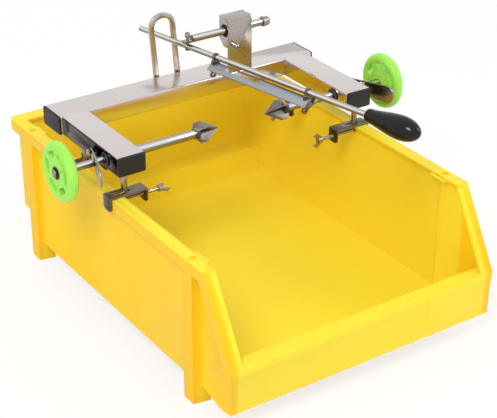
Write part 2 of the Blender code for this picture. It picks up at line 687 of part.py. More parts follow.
def model_spindle(side_name, side, looks):
    """Model one side's sleeve, core shaft, prongs, handwheel, hub ring and nut.

    Local X runs outward from the arm's outer face along the spindle axis.
    """
    wheel_out = LEFT_WHEEL_OUT if side < 0 else RIGHT_WHEEL_OUT
    reach = LEFT_REACH if side < 0 else RIGHT_REACH
    stub = LEFT_STUB if side < 0 else RIGHT_STUB
    carrier = empty(f"{side_name}_spindle_axis",
                    (FRAME_OFFSET + side * ARM_OUTER, SPINDLE_Y, SPINDLE_Z),
                    (0.0, 0.0, 0.0 if side > 0 else math.pi))

    wheel_in = wheel_out - WHEEL_WIDTH / 2
    wheel_end = wheel_out + WHEEL_WIDTH / 2
    prong_back = -TUBE_WIDTH - reach
    ring_start = wheel_end - WHEEL_DISH + GAP
    nut_start = ring_start + HUB_RING_THICKNESS + GAP
    nut_end = nut_start + NUT_THICKNESS
    tail = nut_end + stub
    sleeve_end = -SHOULDER_INSET if side < 0 else prong_back + GAP
    place(f"{side_name}_sleeve",
          ring(SLEEVE_RADIUS, CORE_RADIUS + GAP, sleeve_end, wheel_in - GAP),
          looks["shaft"], parent=carrier)

    shaft_start = prong_back - PRONG_HUB_LENGTH / 2
    if side < 0:
        shaft = turned([(prong_back + GAP, 0.0), (prong_back + GAP, SHAFT_RADIUS),
                        (sleeve_end - GAP, SHAFT_RADIUS), (sleeve_end - GAP, CORE_RADIUS),
                        (tail, CORE_RADIUS), (tail, 0.0)])
    else:
        shaft = new_cylinder(CORE_RADIUS, shaft_start, tail)
    place(f"{side_name}_spindle", shaft, looks["shaft"], parent=carrier)

    hub_end = prong_back - PRONG_HUB_LENGTH
    prongs = place(f"{side_name}_prongs", new_cylinder(PRONG_HUB, hub_end, prong_back),
                   looks["shaft"], parent=carrier)
    root = prong_back - GAP
    shoulder = hub_end - PRONG_SHOULDER
    fin = [(root, -PRONG_HUB), (hub_end, -PRONG_RADIUS), (shoulder, -PRONG_RADIUS),
           (hub_end - PRONG_LENGTH, 0.0), (shoulder, PRONG_RADIUS), (hub_end, PRONG_RADIUS),
           (root, PRONG_HUB)]
    for index, angle in enumerate((math.pi / 4, -math.pi / 4)):
        join(prongs, place(f"{side_name}_fin_{index}",
                           new_prism(fin, "Y", -PRONG_THICKNESS / 2, PRONG_THICKNESS / 2),
                           turn=(angle, 0.0, 0.0), parent=carrier))
    if side > 0:
        cut(prongs, place(f"{side_name}_prong_bore",
                          new_cylinder(CORE_RADIUS + GAP, shaft_start - GAP,
                                       prong_back + OVERRUN), parent=carrier))

    wheel = place(f"{side_name}_handwheel", wheel_shape(wheel_in, wheel_end), looks["wheel"],
                  parent=carrier)
    cut(wheel, place(f"{side_name}_wheel_holes", wheel_holes(wheel_in, wheel_end),
                     parent=carrier))
    place(f"{side_name}_hub_ring",
          ring(HUB_RING_RADIUS, CORE_RADIUS + GAP, ring_start, nut_start - GAP),
          looks["rubber"], parent=carrier)
    nut = place(f"{side_name}_hub_nut",
                new_prism(hexagon(NUT_RADIUS), "X", nut_start, nut_end), looks["shaft"],
                parent=carrier)
    cut(nut, place(f"{side_name}_nut_bore",
                   new_cylinder(CORE_RADIUS + GAP, nut_start - OVERRUN, nut_end + OVERRUN),
                   parent=carrier))


def model_lock(side_name, side, steel):
    """Model a tilted lock plate on its sleeve and the headed stud that its rear end turns on."""
    wall = FRAME_OFFSET + side * ARM_OUTER
    fulcrum_y = SPINDLE_Y + LOCK_REAR
    tilt = LEFT_LOCK_TILT if side < 0 else RIGHT_LOCK_TILT
    front = -(LOCK_REAR + LOCK_FRONT) / math.cos(tilt) + LOCK_FRONT_RADIUS
    outline = (arc((LOCK_TAIL - LOCK_TAIL_RADIUS, 0.0), LOCK_TAIL_RADIUS, -90, 90, SMALL_STEPS)
               + arc((front, 0.0), LOCK_FRONT_RADIUS, 90, 270, SMALL_STEPS))
    plate = place(f"{side_name}_lock_plate",
                  new_prism(outline, "X", -LOCK_THICKNESS / 2, LOCK_THICKNESS / 2), steel,
                  at=(wall + side * (LOCK_STANDOFF + LOCK_THICKNESS / 2), fulcrum_y, SPINDLE_Z),
                  turn=(0.0, 0.0, side * tilt))
    reach = LOCK_FRONT * math.tan(tilt)
    cut(plate, place(f"{side_name}_lock_hole",
                     new_cylinder(SLEEVE_RADIUS + LOCK_HOLE_EASE, -reach, reach),
                     at=(wall + side * reach, SPINDLE_Y, SPINDLE_Z)))
    cut(plate, place(f"{side_name}_lock_stud_hole",
                     new_cylinder(STUD_RADIUS + STUD_EASE, -reach, reach, SMALL_STEPS),
                     at=(wall, fulcrum_y, SPINDLE_Z)))
    head = LOCK_STANDOFF + LOCK_THICKNESS + STUD_PLAY
    place(f"{side_name}_lock_stud",
          turned([(-TUBE_WALL, 0.0), (-TUBE_WALL, STUD_RADIUS), (head, STUD_RADIUS),
                  (head, STUD_HEAD_RADIUS), (head + STUD_HEAD, STUD_HEAD_RADIUS),
                  (head + STUD_HEAD, 0.0)], SMALL_STEPS), steel,
          at=(wall, fulcrum_y, SPINDLE_Z), turn=(0.0, 0.0, 0.0 if side > 0 else math.pi))


def model_tower(steel, look):
    """Model the tower plate, its head block, the rest peg and the support rod's bush."""
    base = FRAME_TOP + GAP
    head_bottom = FRAME_TOP + TOWER_HEIGHT - HEAD_HEIGHT
    place("tower_plate", new_prism(
        rectangle(RAIL_FRONT_Y, RAIL_FRONT_Y + TOWER_PLATE, base, head_bottom - GAP), "X",
        TOWER_LEFT, TOWER_RIGHT), steel)
    back = RAIL_FRONT_Y + HEAD_DEPTH
    top = FRAME_TOP + TOWER_HEIGHT
    outline = [(RAIL_FRONT_Y, head_bottom), (back - HEAD_CHAMFER, head_bottom),
               (back, head_bottom + HEAD_CHAMFER), (back, top), (RAIL_FRONT_Y, top)]
    block = new_prism(outline, "X", TOWER_LEFT, TOWER_RIGHT)
    bevel_edges(block, lambda one, two: min(one.z, two.z) > top - GAP
                and min(one.x, two.x) > TOWER_RIGHT - GAP, TOWER_ROUND, BEND_STEPS)
    head = place("tower_head", block, steel)
    bush_radius = SUPPORT_RADIUS + GAP + PIVOT_BUSH_WALL
    cut(head, place("tower_bore",
                    new_cylinder(bush_radius + GAP, TOWER_LEFT - OVERRUN, TOWER_RIGHT + OVERRUN),
                    at=(0.0, SUPPORT_Y, SUPPORT_Z)))
    place("pivot_bush", ring(bush_radius, SUPPORT_RADIUS + GAP, -PIVOT_PROUD,
                             TOWER_WIDTH + PIVOT_END), look, at=(TOWER_LEFT, SUPPORT_Y, SUPPORT_Z))
    tip = PEG_LENGTH - PEG_ROUND
    place("rest_peg", turned([(-GAP, 0.0), (-GAP, PEG_RADIUS), (-tip, PEG_RADIUS),
                              (-PEG_LENGTH, PEG_RADIUS - PEG_ROUND), (-PEG_LENGTH, 0.0)],
                             SMALL_STEPS, "Y"), steel,
          at=(TOWER_LEFT + PEG_INSET, RAIL_FRONT_Y, FRAME_TOP + PEG_HEIGHT))


def model_support(looks):
    """Model the support rod, whose left end is flattened for the pin, and its domed stop nut."""
    at = (PIN_X, SUPPORT_Y, SUPPORT_Z)
    right = PIN_LEFT + TOWER_WIDTH
    rod = place("support_rod", new_cylinder(SUPPORT_RADIUS, -FLAT_END, right + SUPPORT_TAIL),
                looks["shaft"], at=at)
    cut(rod, place("support_flat", new_prism(
        rectangle(-SUPPORT_RADIUS - OVERRUN, SUPPORT_RADIUS + OVERRUN,
                  FLAT_THICKNESS - SUPPORT_RADIUS, SUPPORT_RADIUS + OVERRUN), "X",
        -FLAT_END - OVERRUN, FLAT_LENGTH), at=at))
    cut(rod, place("support_pin_bore",
                   new_cylinder(PIN_RADIUS + GAP, -SUPPORT_RADIUS - OVERRUN, SUPPORT_RADIUS,
                                SMALL_STEPS, "Z"), at=at))
    start = right + STOP_NUT_START
    dome = start + STOP_NUT_LENGTH
    profile = ([(start, 0.0), (start, STOP_NUT_RADIUS), (dome, STOP_NUT_RADIUS)]
               + [(dome + DOME_LENGTH * math.sin(angle), STOP_NUT_RADIUS * math.cos(angle))
                  for angle in (math.radians(30.0), math.radians(55.0), math.radians(75.0))]
               + [(dome + DOME_LENGTH, 0.0)])
    nut = place("stop_nut", turned(profile), looks["shaft"], at=at)
    cut(nut, place("stop_nut_bore",
                   new_cylinder(SUPPORT_RADIUS + GAP, start - OVERRUN, right + SUPPORT_TAIL + GAP),
                   at=at))


def blade_outline(ease):
    """Return the bowed blade's section, as (X, Z) pairs, grown by an ease."""
    width = BLADE_WIDTH + ease * 2
    points = []
    for index in range(BLADE_STEPS + 1):
        share = index / BLADE_STEPS
        along = share * width
        bow = BLADE_BOW * 4 * share * (1.0 - share)
        points.append((ease - BLADE_RIGHT - along * math.cos(BLADE_TILT),
                       -BLADE_DROP - along * math.sin(BLADE_TILT) + bow))
    upper = [(x, z + ease) for x, z in points]
    lower = [(x, z - BLADE_THICKNESS - ease) for x, z in reversed(points)]
    return upper + lower


def bracket_outline(winged):
    """Return a bracket's outline: collar, body, lower-left ear and, if winged, a right wing."""
    points = arc((0.0, 0.0), COLLAR_RADIUS, -20, 200, SMALL_STEPS)
    points += [(-BRACKET_LEFT, -SHOULDER_DROP), (-BRACKET_LEFT - GAP, -EAR_DROP + EAR_RADIUS)]
    points += arc((-EAR_LEFT, -EAR_DROP), EAR_RADIUS, 170, 310, SMALL_STEPS // 2)
    points += [(0.0, -BRACKET_DROP - WING_ROUND)]
    if winged:
        points += arc((WING_REACH - WING_ROUND, -BRACKET_DROP + WING_ROUND), WING_ROUND, -90, 0, 3)
        points += arc((WING_REACH - WING_ROUND, -WING_TOP - WING_ROUND), WING_ROUND, 0, 90, 3)
        points += [(BRACKET_RIGHT, -WING_TOP)]
    else:
        points += [(BRACKET_RIGHT, -BRACKET_DROP)]
    points += [(BRACKET_RIGHT, -SHOULDER_DROP)]
    return points


def model_knife(looks):
    """Model the knife rod with its brackets, blade, bolt, pin and handle.

    Local -Y runs from the pin towards the handle and local Z is up.
    """
    carrier = empty("knife_axis", (PIN_X, SUPPORT_Y, SUPPORT_Z - KNIFE_DROP),
                    (0.0, 0.0, KNIFE_YAW))
    rod = place("knife_rod", new_cylinder(KNIFE_RADIUS, -HANDLE_START - HANDLE_TENON, KNIFE_TAIL,
                                          ROUND_STEPS, "Y"), looks["shaft"], parent=carrier)
    cut(rod, place("knife_pin_bore",
                   new_cylinder(PIN_RADIUS + GAP, -KNIFE_RADIUS - OVERRUN, KNIFE_RADIUS + OVERRUN,
                                SMALL_STEPS, "Z"), parent=carrier))

    for name, distance, winged in (("rear_bracket", REAR_BRACKET, False),
                                   ("front_bracket", FRONT_BRACKET, True)):
        start = -distance - BRACKET_THICKNESS / 2
        end = start + BRACKET_THICKNESS
        bracket = place(name, new_prism(bracket_outline(winged), "Y", start, end),
                        looks["steel"], parent=carrier)
        low = start - OVERRUN
        high = end + OVERRUN
        cut(bracket, place(name + "_collar_bore",
                           new_cylinder(KNIFE_RADIUS + GAP, low, high, ROUND_STEPS, "Y"),
                           parent=carrier))
        cut(bracket, place(name + "_notch", new_prism(blade_outline(GAP), "Y", low, high),
                           parent=carrier))
        cut(bracket, place(name + "_ear_hole",
                           new_cylinder(EAR_HOLE, low, high, SMALL_STEPS, "Y",
                                        (-EAR_LEFT, -EAR_DROP)), parent=carrier))
        if winged:
            spot = (BOLT_RIGHT, -BOLT_DROP)
            cut(bracket, place(name + "_bolt_hole",
                               new_cylinder(BOLT_RADIUS + GAP, low, high, SMALL_STEPS, "Y", spot),
                               parent=carrier))
            head = start - GAP
            bolt = place("bracket_bolt",
                         new_cylinder(BOLT_HEAD_RADIUS, head - BOLT_HEAD, head, HEX_STEPS, "Y",
                                      spot), looks["shaft"], parent=carrier)
            join(bolt, place("bracket_bolt_shank",
                             new_cylinder(BOLT_RADIUS, head - BOLT_HEAD / 2, end + BOLT_TAIL,
                                          SMALL_STEPS, "Y", spot), parent=carrier))

    rear = BLADE_REAR - REAR_BRACKET
    front = -FRONT_BRACKET - BRACKET_THICKNESS - BLADE_FRONT
    blade = place("blade", new_prism(blade_outline(0.0), "Y", front, rear), looks["shaft"],
                  parent=carrier)
    slot_right = -BLADE_RIGHT - SLOT_INSET
    cut(blade, place("blade_slot", new_prism(
        rounded(slot_right - SLOT_WIDTH, slot_right, front + SLOT_FRONT, rear - SLOT_REAR,
                SLOT_WIDTH / 2 - GAP), "Z", -BLADE_DROP - BLADE_WIDTH, -KNIFE_RADIUS - GAP),
        parent=carrier))

    profile = [(-HANDLE_START - share * HANDLE_LENGTH, radius_share * HANDLE_NECK)
               for share, radius_share in HANDLE_SHARES]
    handle = place("handle", turned(profile, WHEEL_STEPS, "Y"), looks["grip"], parent=carrier)
    cut(handle, place("handle_bore",
                      new_cylinder(KNIFE_RADIUS + GAP, -HANDLE_START - HANDLE_TENON - GAP,
                                   -HANDLE_START + OVERRUN, ROUND_STEPS, "Y"), parent=carrier))

    flat = KNIFE_RADIUS + GAP + FLAT_THICKNESS + PIN_NECK
    pin_end = -KNIFE_RADIUS - GAP - PIN_NUT
    pin = place("pivot_screw",
                turned([(pin_end, 0.0), (pin_end, PIN_NUT_RADIUS),
                        (-KNIFE_RADIUS - GAP, PIN_NUT_RADIUS), (-KNIFE_RADIUS - GAP, PIN_RADIUS),
                        (flat, PIN_RADIUS), (flat, PIN_HEAD_RADIUS),
                        (flat + PIN_HEAD, PIN_HEAD_RADIUS), (flat + PIN_HEAD, 0.0)],
                       SMALL_STEPS, "Z"), looks["cap"], parent=carrier)
    cut(pin, place("pivot_socket",
                   new_cylinder(PIN_SOCKET, flat + PIN_HEAD - PIN_SOCKET_DEPTH,
                                flat + PIN_HEAD + OVERRUN, HEX_STEPS, "Z"), parent=carrier))


def model_loop(steel):
    """Model the leaning guide loop on the rail's back wall."""
    half = LOOP_GAP / 2
    outer = half + LOOP_BAR
    inner_round = LOOP_ROUND - LOOP_BAR
    top = LOOP_TOP - LOOP_ROUND
    outline = ([(outer, -LOOP_FOOT)]
               + arc((outer - LOOP_ROUND, top), LOOP_ROUND, 0, 90, BEND_STEPS)
               + arc((LOOP_ROUND - outer, top), LOOP_ROUND, 90, 180, BEND_STEPS)
               + [(-outer, -LOOP_FOOT), (-half, -LOOP_FOOT)]
               + arc((inner_round - half, top), inner_round, 180, 90, BEND_STEPS)
               + arc((half - inner_round, top), inner_round, 90, 0, BEND_STEPS)
               + [(half, -LOOP_FOOT)])
    place("guide_loop", new_prism(outline, "Y", GAP, GAP + LOOP_THICKNESS), steel,
          at=(FRAME_OFFSET - LOOP_LEFT, RAIL_BACK_Y, FRAME_TOP), turn=(0.0, LOOP_LEAN, 0.0))


def model_clamps(steel):
    """Model the four bin clamps, their posts under the arms and their wing screws."""
    plate_low = RIM_Z + GAP
    plate_top = plate_low + CLAMP_PLATE
    jaw_low = RIM_Z - JAW_DROP
    screw_z = RIM_Z - SCREW_DROP
    for side_name, side in SIDES:
        outer_in = side * (BIN_HALF_WIDTH + GAP)
        outer = outer_in + side * JAW_THICKNESS
        inner_in = side * (BIN_HALF_WIDTH - CLAMP_SPAN)
        inner_jaw = inner_in + side * JAW_THICKNESS
        post_x = FRAME_OFFSET + side * (ARM_OUTER - POST_INSET)
        outline = [(outer, jaw_low), (outer, plate_top), (inner_in, plate_top),
                   (inner_in, jaw_low), (inner_jaw, jaw_low), (inner_jaw, plate_low),
                   (outer_in, plate_low), (outer_in, jaw_low)]
        for place_name, distance in (("front", FRONT_CLAMP), ("rear", REAR_CLAMP)):
            middle = FRONT_Y + distance
            half = CLAMP_WIDTH / 2
            name = f"{side_name}_{place_name}_clamp"
            shape = new_prism(outline, "Y", middle - half, middle + half)
            bevel_edges(shape, lambda one, two: max(one.z, two.z) < jaw_low + GAP
                        and abs(one.y - two.y) < GAP, JAW_ROUND, BEND_STEPS)
            clamp = place(name, shape, steel)
            slot_middle = side * (BIN_HALF_WIDTH - SLOT_PLACE)
            cut(clamp, place(name + "_slot", new_prism(
                rounded(slot_middle - SLOT_HALF, slot_middle + SLOT_HALF, middle - SLOT_RADIUS,
                        middle + SLOT_RADIUS, SLOT_RADIUS - GAP), "Z", plate_low - OVERRUN,
                plate_top + OVERRUN)))
            low, high = sorted((inner_in, inner_jaw))
            cut(clamp, place(name + "_screw_bore",
                             new_cylinder(SCREW_RADIUS + GAP, low - OVERRUN, high + OVERRUN,
                                          SMALL_STEPS, "X", (middle, screw_z))))
            place(f"{side_name}_{place_name}_post",
                  new_cylinder(POST_RADIUS, plate_top + GAP, FRAME_BOTTOM - GAP, SMALL_STEPS, "Z"),
                  steel, at=(post_x, middle, 0.0))
            wing_screw(f"{side_name}_{place_name}_wing_screw", steel, side,
                       (inner_in, middle, screw_z))


def wing_screw(name, steel, side, at):
    """Model a wing screw whose pad presses on the bin's side wall below the rim.

    Local X runs outward from the inner jaw's inner face.
    """
    tip = CLAMP_SPAN - SIDE_RECESS - BIN_WALL - GAP
    pad = tip - PAD_THICKNESS
    hub = -HUB_OUT
    hub_end = hub - WING_HUB_LENGTH
    turn = (0.0, 0.0, 0.0 if side > 0 else math.pi)
    screw = place(name, turned([(hub_end, 0.0), (hub_end, WING_HUB_RADIUS),
                                (hub, WING_HUB_RADIUS), (hub, SCREW_RADIUS), (pad, SCREW_RADIUS),
                                (pad, PAD_RADIUS), (tip, PAD_RADIUS), (tip, 0.0)], SMALL_STEPS),
                  steel, at=at, turn=turn)
    bend = hub - WING_LENGTH * WING_BEND_SHARE
    far = hub - WING_LENGTH
    neck = WING_HUB_RADIUS * WING_BEND_SHARE
    wings = [(hub - GAP, -WING_HUB_RADIUS), (bend, -WING_SPAN), (far, -WING_SPAN + WING_TIP),
             (bend, -neck), (bend, neck), (far, WING_SPAN - WING_TIP), (bend, WING_SPAN),
             (hub - GAP, WING_HUB_RADIUS)]
    join(screw, place(name + "_wings", new_prism(wings, "Y", -WING_THICKNESS / 2,
                                                 WING_THICKNESS / 2), at=at, turn=turn))


def model():
    """Model every piece."""
    clear_scene()
    looks = {
        "steel": material("brushed_stainless", (0.55, 0.53, 0.52), 0.32, 1.0),
        "shaft": material("polished_stainless", (0.66, 0.65, 0.64), 0.18, 1.0),
        "bin": material("yellow_polypropylene", (0.87, 0.58, 0.03), 0.42, 0.0),
        "cap": material("black_plastic", (0.03, 0.03, 0.032), 0.45, 0.0),
        "wheel": material("lime_plastic", (0.32, 0.78, 0.10), 0.40, 0.0),
        "rubber": material("black_rubber", (0.02, 0.02, 0.02), 0.70, 0.0),
        "grip": material("glossy_black_handle", (0.008, 0.008, 0.009), 0.08, 0.0),
        "nylon": material("grey_nylon", (0.10, 0.10, 0.10), 0.50, 0.0),
    }
    model_bin(looks["bin"])
    model_frame(looks["steel"], looks["cap"])
    model_bushes(looks["nylon"])
    for side_name, side in SIDES:
        model_spindle(side_name, side, looks)
        model_lock(side_name, side, looks["steel"])
    model_tower(looks["steel"], looks["cap"])
    model_support(looks)
    model_knife(looks)
    model_loop(looks["steel"])
    model_clamps(looks["steel"])


model()
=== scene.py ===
"""Finished look of the hand-turned peeler, built round its frame of plain solids."""

import json
import logging
import math
from dataclasses import dataclass
from enum import Enum
from typing import Any, Callable, Iterable, Protocol, Sequence

import bmesh
import bpy
from mathutils import Matrix, Vector


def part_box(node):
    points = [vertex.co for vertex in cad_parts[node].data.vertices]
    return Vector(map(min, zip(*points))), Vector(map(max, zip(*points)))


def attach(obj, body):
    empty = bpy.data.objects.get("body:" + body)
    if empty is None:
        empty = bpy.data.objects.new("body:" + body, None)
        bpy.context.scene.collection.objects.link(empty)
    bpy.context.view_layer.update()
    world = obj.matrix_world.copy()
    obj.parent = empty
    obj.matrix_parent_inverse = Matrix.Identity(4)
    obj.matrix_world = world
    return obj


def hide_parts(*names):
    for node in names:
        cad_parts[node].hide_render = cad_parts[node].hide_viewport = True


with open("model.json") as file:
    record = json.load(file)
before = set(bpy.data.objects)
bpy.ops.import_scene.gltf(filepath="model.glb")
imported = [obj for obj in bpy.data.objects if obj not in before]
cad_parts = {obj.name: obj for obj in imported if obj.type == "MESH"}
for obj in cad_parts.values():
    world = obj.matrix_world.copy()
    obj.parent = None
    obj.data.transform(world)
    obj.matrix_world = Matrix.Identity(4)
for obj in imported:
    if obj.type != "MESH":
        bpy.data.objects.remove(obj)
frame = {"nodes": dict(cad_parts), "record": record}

log = logging.getLogger("peeler")

Pair = tuple[float, float]
Triple = tuple[float, float, float]
Shape = bmesh.types.BMesh
Tree = bpy.types.NodeTree
Socket = bpy.types.NodeSocket

GAP = 0.0003                      # clearance between pieces that touch
OVERRUN = 0.002                   # how far a cutter passes a face
WELD = 0.000002                   # merge distance of a copied node's loose triangles
FLAT_ANGLE = math.radians(1.0)    # faces closer than this become one
SHARP_ANGLE = math.radians(35.0)  # edges sharper than this keep a crease
ROUND_STEPS = 64
SMALL_STEPS = 32
WHEEL_STEPS = 128
SCREW_STEPS = 24
RIVET_STEPS = 16
EDGE_STEPS = 8                    # steps across a quarter turn of a profile
DOME_STEPS = 9
KNOT_STEPS = 6                    # steps between two main radii of the handle
MIX_A, MIX_B, MIX_RESULT = 6, 7, 2    # colour sockets of a Mix node
NOISE_LOW, NOISE_HIGH = 0.3, 0.7  # range in which most of a noise texture lies
SPINDLE_AXIS = (0.012, 0.2345)    # Y and Z of both spindles
LEFT_WALL, RIGHT_WALL = -0.187, 0.193    # X of the arms' outer walls
SUPPORT_AXIS = (0.132, 0.305)     # Y and Z of the support rod


class Side(Enum):
    """Left or right, as seen from the bin's open front."""

    LEFT = "left"
    RIGHT = "right"

    @property
    def sign(self) -> int:
        """Return the side's direction along X."""
        return -1 if self is Side.LEFT else 1


class Row(Enum):
    """Front or rear clamp of one arm."""

    FRONT = "front"
    REAR = "rear"


# Materials


def linear(code: str) -> tuple[float, float, float, float]:
    """Turn an sRGB hex colour into linear values.

    Args:
        code: The colour as "#RRGGBB".

    Returns:
        Red, green, blue and an alpha of one.
    """
    values = []
    for start in (1, 3, 5):
        value = int(code[start:start + 2], 16) / 255.0
        values.append(value / 12.92 if value <= 0.04045 else ((value + 0.055) / 1.055) ** 2.4)
    return values[0], values[1], values[2], 1.0


def add_node(tree: Tree, kind: str, inputs: dict[Any, Any] | None = None,
             **settings: Any) -> bpy.types.Node:
    """Add a node with its settings and links.

    Args:
        tree: The node tree.
        kind: The node's type name.
        inputs: Socket names or numbers, each with a value or the output socket that feeds it.
        **settings: Attributes of the node.

    Returns:
        The node.
    """
    node = tree.nodes.new(kind)
    for key, value in settings.items():
        setattr(node, key, value)
    for key, value in (inputs or {}).items():
        if isinstance(value, Socket):
            tree.links.new(value, node.inputs[key])
        else:
            node.inputs[key].default_value = value
    return node


def new_material(name: str) -> tuple[bpy.types.Material, Tree]:
    """Make a material with an empty node tree.

    Args:
        name: The real material's name.

    Returns:
        The material and its tree.
    """
    made = bpy.data.materials.new(name)
    made.use_nodes = True
    made.node_tree.nodes.clear()
    return made, made.node_tree


def close_material(tree: Tree, inputs: dict[str, Any]) -> None:
    """Add the surface shader and the material's output.

    Args:
        tree: The material's tree.
        inputs: The shader's sockets with their values or feeding sockets.
    """
    shader = add_node(tree, "ShaderNodeBsdfPrincipled", inputs)
    add_node(tree, "ShaderNodeOutputMaterial", {"Surface": shader.outputs[0]})


class Finish(Protocol):
    """What every finish offers."""

    name: str

    def build(self) -> bpy.types.Material:
        """Return the node material."""


@dataclass(frozen=True)
class Steel:
    """Stainless steel, rolled or turned, with a fine grain that runs one way.

    The grain gives the eye thin parallel streaks and a soft spread of reflections. Faces that
    look towards one direction get painted shade: a darker colour that stands in for the dark
    surroundings a tube's wall mirrors. Painted reflection bands give a turned bar light and dark
    lines along its length, by how far a face looks up.
    """

    name: str
    colour: str
    streak: str
    roughness: float
    grain: Triple                 # size of the grain along X, Y and Z
    turn: float = 0.0             # the grain's turn about Z
    bump: float = 0.05
    depth: float = 0.0003         # depth of the grain
    # painted shade: darker colour for faces that look along toward
    painted_shade: str = ""
    toward: Triple = (0.0, 0.0, 1.0)
    smudge: float = 0.035         # size of the cloudy differences in gloss
    gloss: Pair = (0.8, 1.25)     # least and most roughness, as shares of the plain one
    painted_shade_from: Pair = (0.35, 0.8)    # how squarely a face meets the painted shade's direction
    painted_bands: tuple[tuple[float, str], ...] = ()    # painted reflections: colours by how far a face looks up
    band_streaks: float = 0.3     # how strongly the grain shows over the painted reflection bands

    def painted_reflection(self, tree: Tree,
               normal: Socket) -> Socket:
        """Return the painted reflection: light and dark lines along a bar.

        Args:
            tree: The material's tree.
            normal: The socket of the surface's direction.

        Returns:
            The colour's socket.
        """
        height = add_node(tree, "ShaderNodeSeparateXYZ", {0: normal}).outputs["Z"]
        share = add_node(tree, "ShaderNodeMapRange", {"Value": height, "From Min": -1.0})
        ramp = add_node(tree, "ShaderNodeValToRGB", {0: share.outputs[0]})
        marks = ramp.color_ramp.elements
        while len(marks) < len(self.painted_bands):
            marks.new(1.0)
        for mark, (up, code) in zip(marks, self.painted_bands):
            mark.position = (up + 1.0) / 2.0
            mark.color = linear(code)
        return ramp.outputs[0]

    def build(self) -> bpy.types.Material:
        """Return the node material."""
        made, tree = new_material(self.name)
        place = add_node(tree, "ShaderNodeTexCoord").outputs["Object"]
        along = add_node(tree, "ShaderNodeMapping", {
            "Vector": place, "Rotation": (0.0, 0.0, self.turn), "Scale": self.grain},
            vector_type="TEXTURE")
        grain = add_node(tree, "ShaderNodeTexNoise", {
            "Vector": along.outputs[0], "Scale": 1.0, "Detail": 4.0, "Roughness": 0.65})
        cloud = add_node(tree, "ShaderNodeTexNoise", {
            "Vector": place, "Scale": 1.0 / self.smudge, "Detail": 2.0})
        normal = add_node(tree, "ShaderNodeNewGeometry").outputs["Normal"]
        share, ground = grain.outputs[0], linear(self.colour)
        # painted reflection: colours by how far the face looks up, in place of the plain colour
        if self.painted_bands:
            ground = self.painted_reflection(tree, normal)
            share = add_node(tree, "ShaderNodeMath", {0: share, 1: self.band_streaks},
                             operation="MULTIPLY").outputs[0]
        colour = add_node(tree, "ShaderNodeMix", {
            0: share, MIX_A: ground, MIX_B: linear(self.streak)},
            data_type="RGBA").outputs[MIX_RESULT]
        # painted shade on faces that look towards one direction
        if self.painted_shade:
            facing = add_node(tree, "ShaderNodeVectorMath", {0: normal, 1: self.toward},
                              operation="DOT_PRODUCT")
            share = add_node(tree, "ShaderNodeMapRange", {
                "Value": facing.outputs["Value"], "From Min": self.painted_shade_from[0],
                "From Max": self.painted_shade_from[1]})
            colour = add_node(tree, "ShaderNodeMix", {
                0: share.outputs[0], MIX_A: colour, MIX_B: linear(self.painted_shade)},
                data_type="RGBA").outputs[MIX_RESULT]
        gloss = add_node(tree, "ShaderNodeMapRange", {
            "Value": cloud.outputs[0], "From Min": NOISE_LOW, "From Max": NOISE_HIGH,
            "To Min": self.roughness * self.gloss[0],
            "To Max": self.roughness * self.gloss[1]})
        relief = add_node(tree, "ShaderNodeBump", {
            "Strength": self.bump, "Distance": self.depth, "Height": grain.outputs[0]})
        close_material(tree, {"Base Color": colour, "Metallic": 1.0,
                              "Roughness": gloss.outputs[0], "Normal": relief.outputs[0]})
        return made


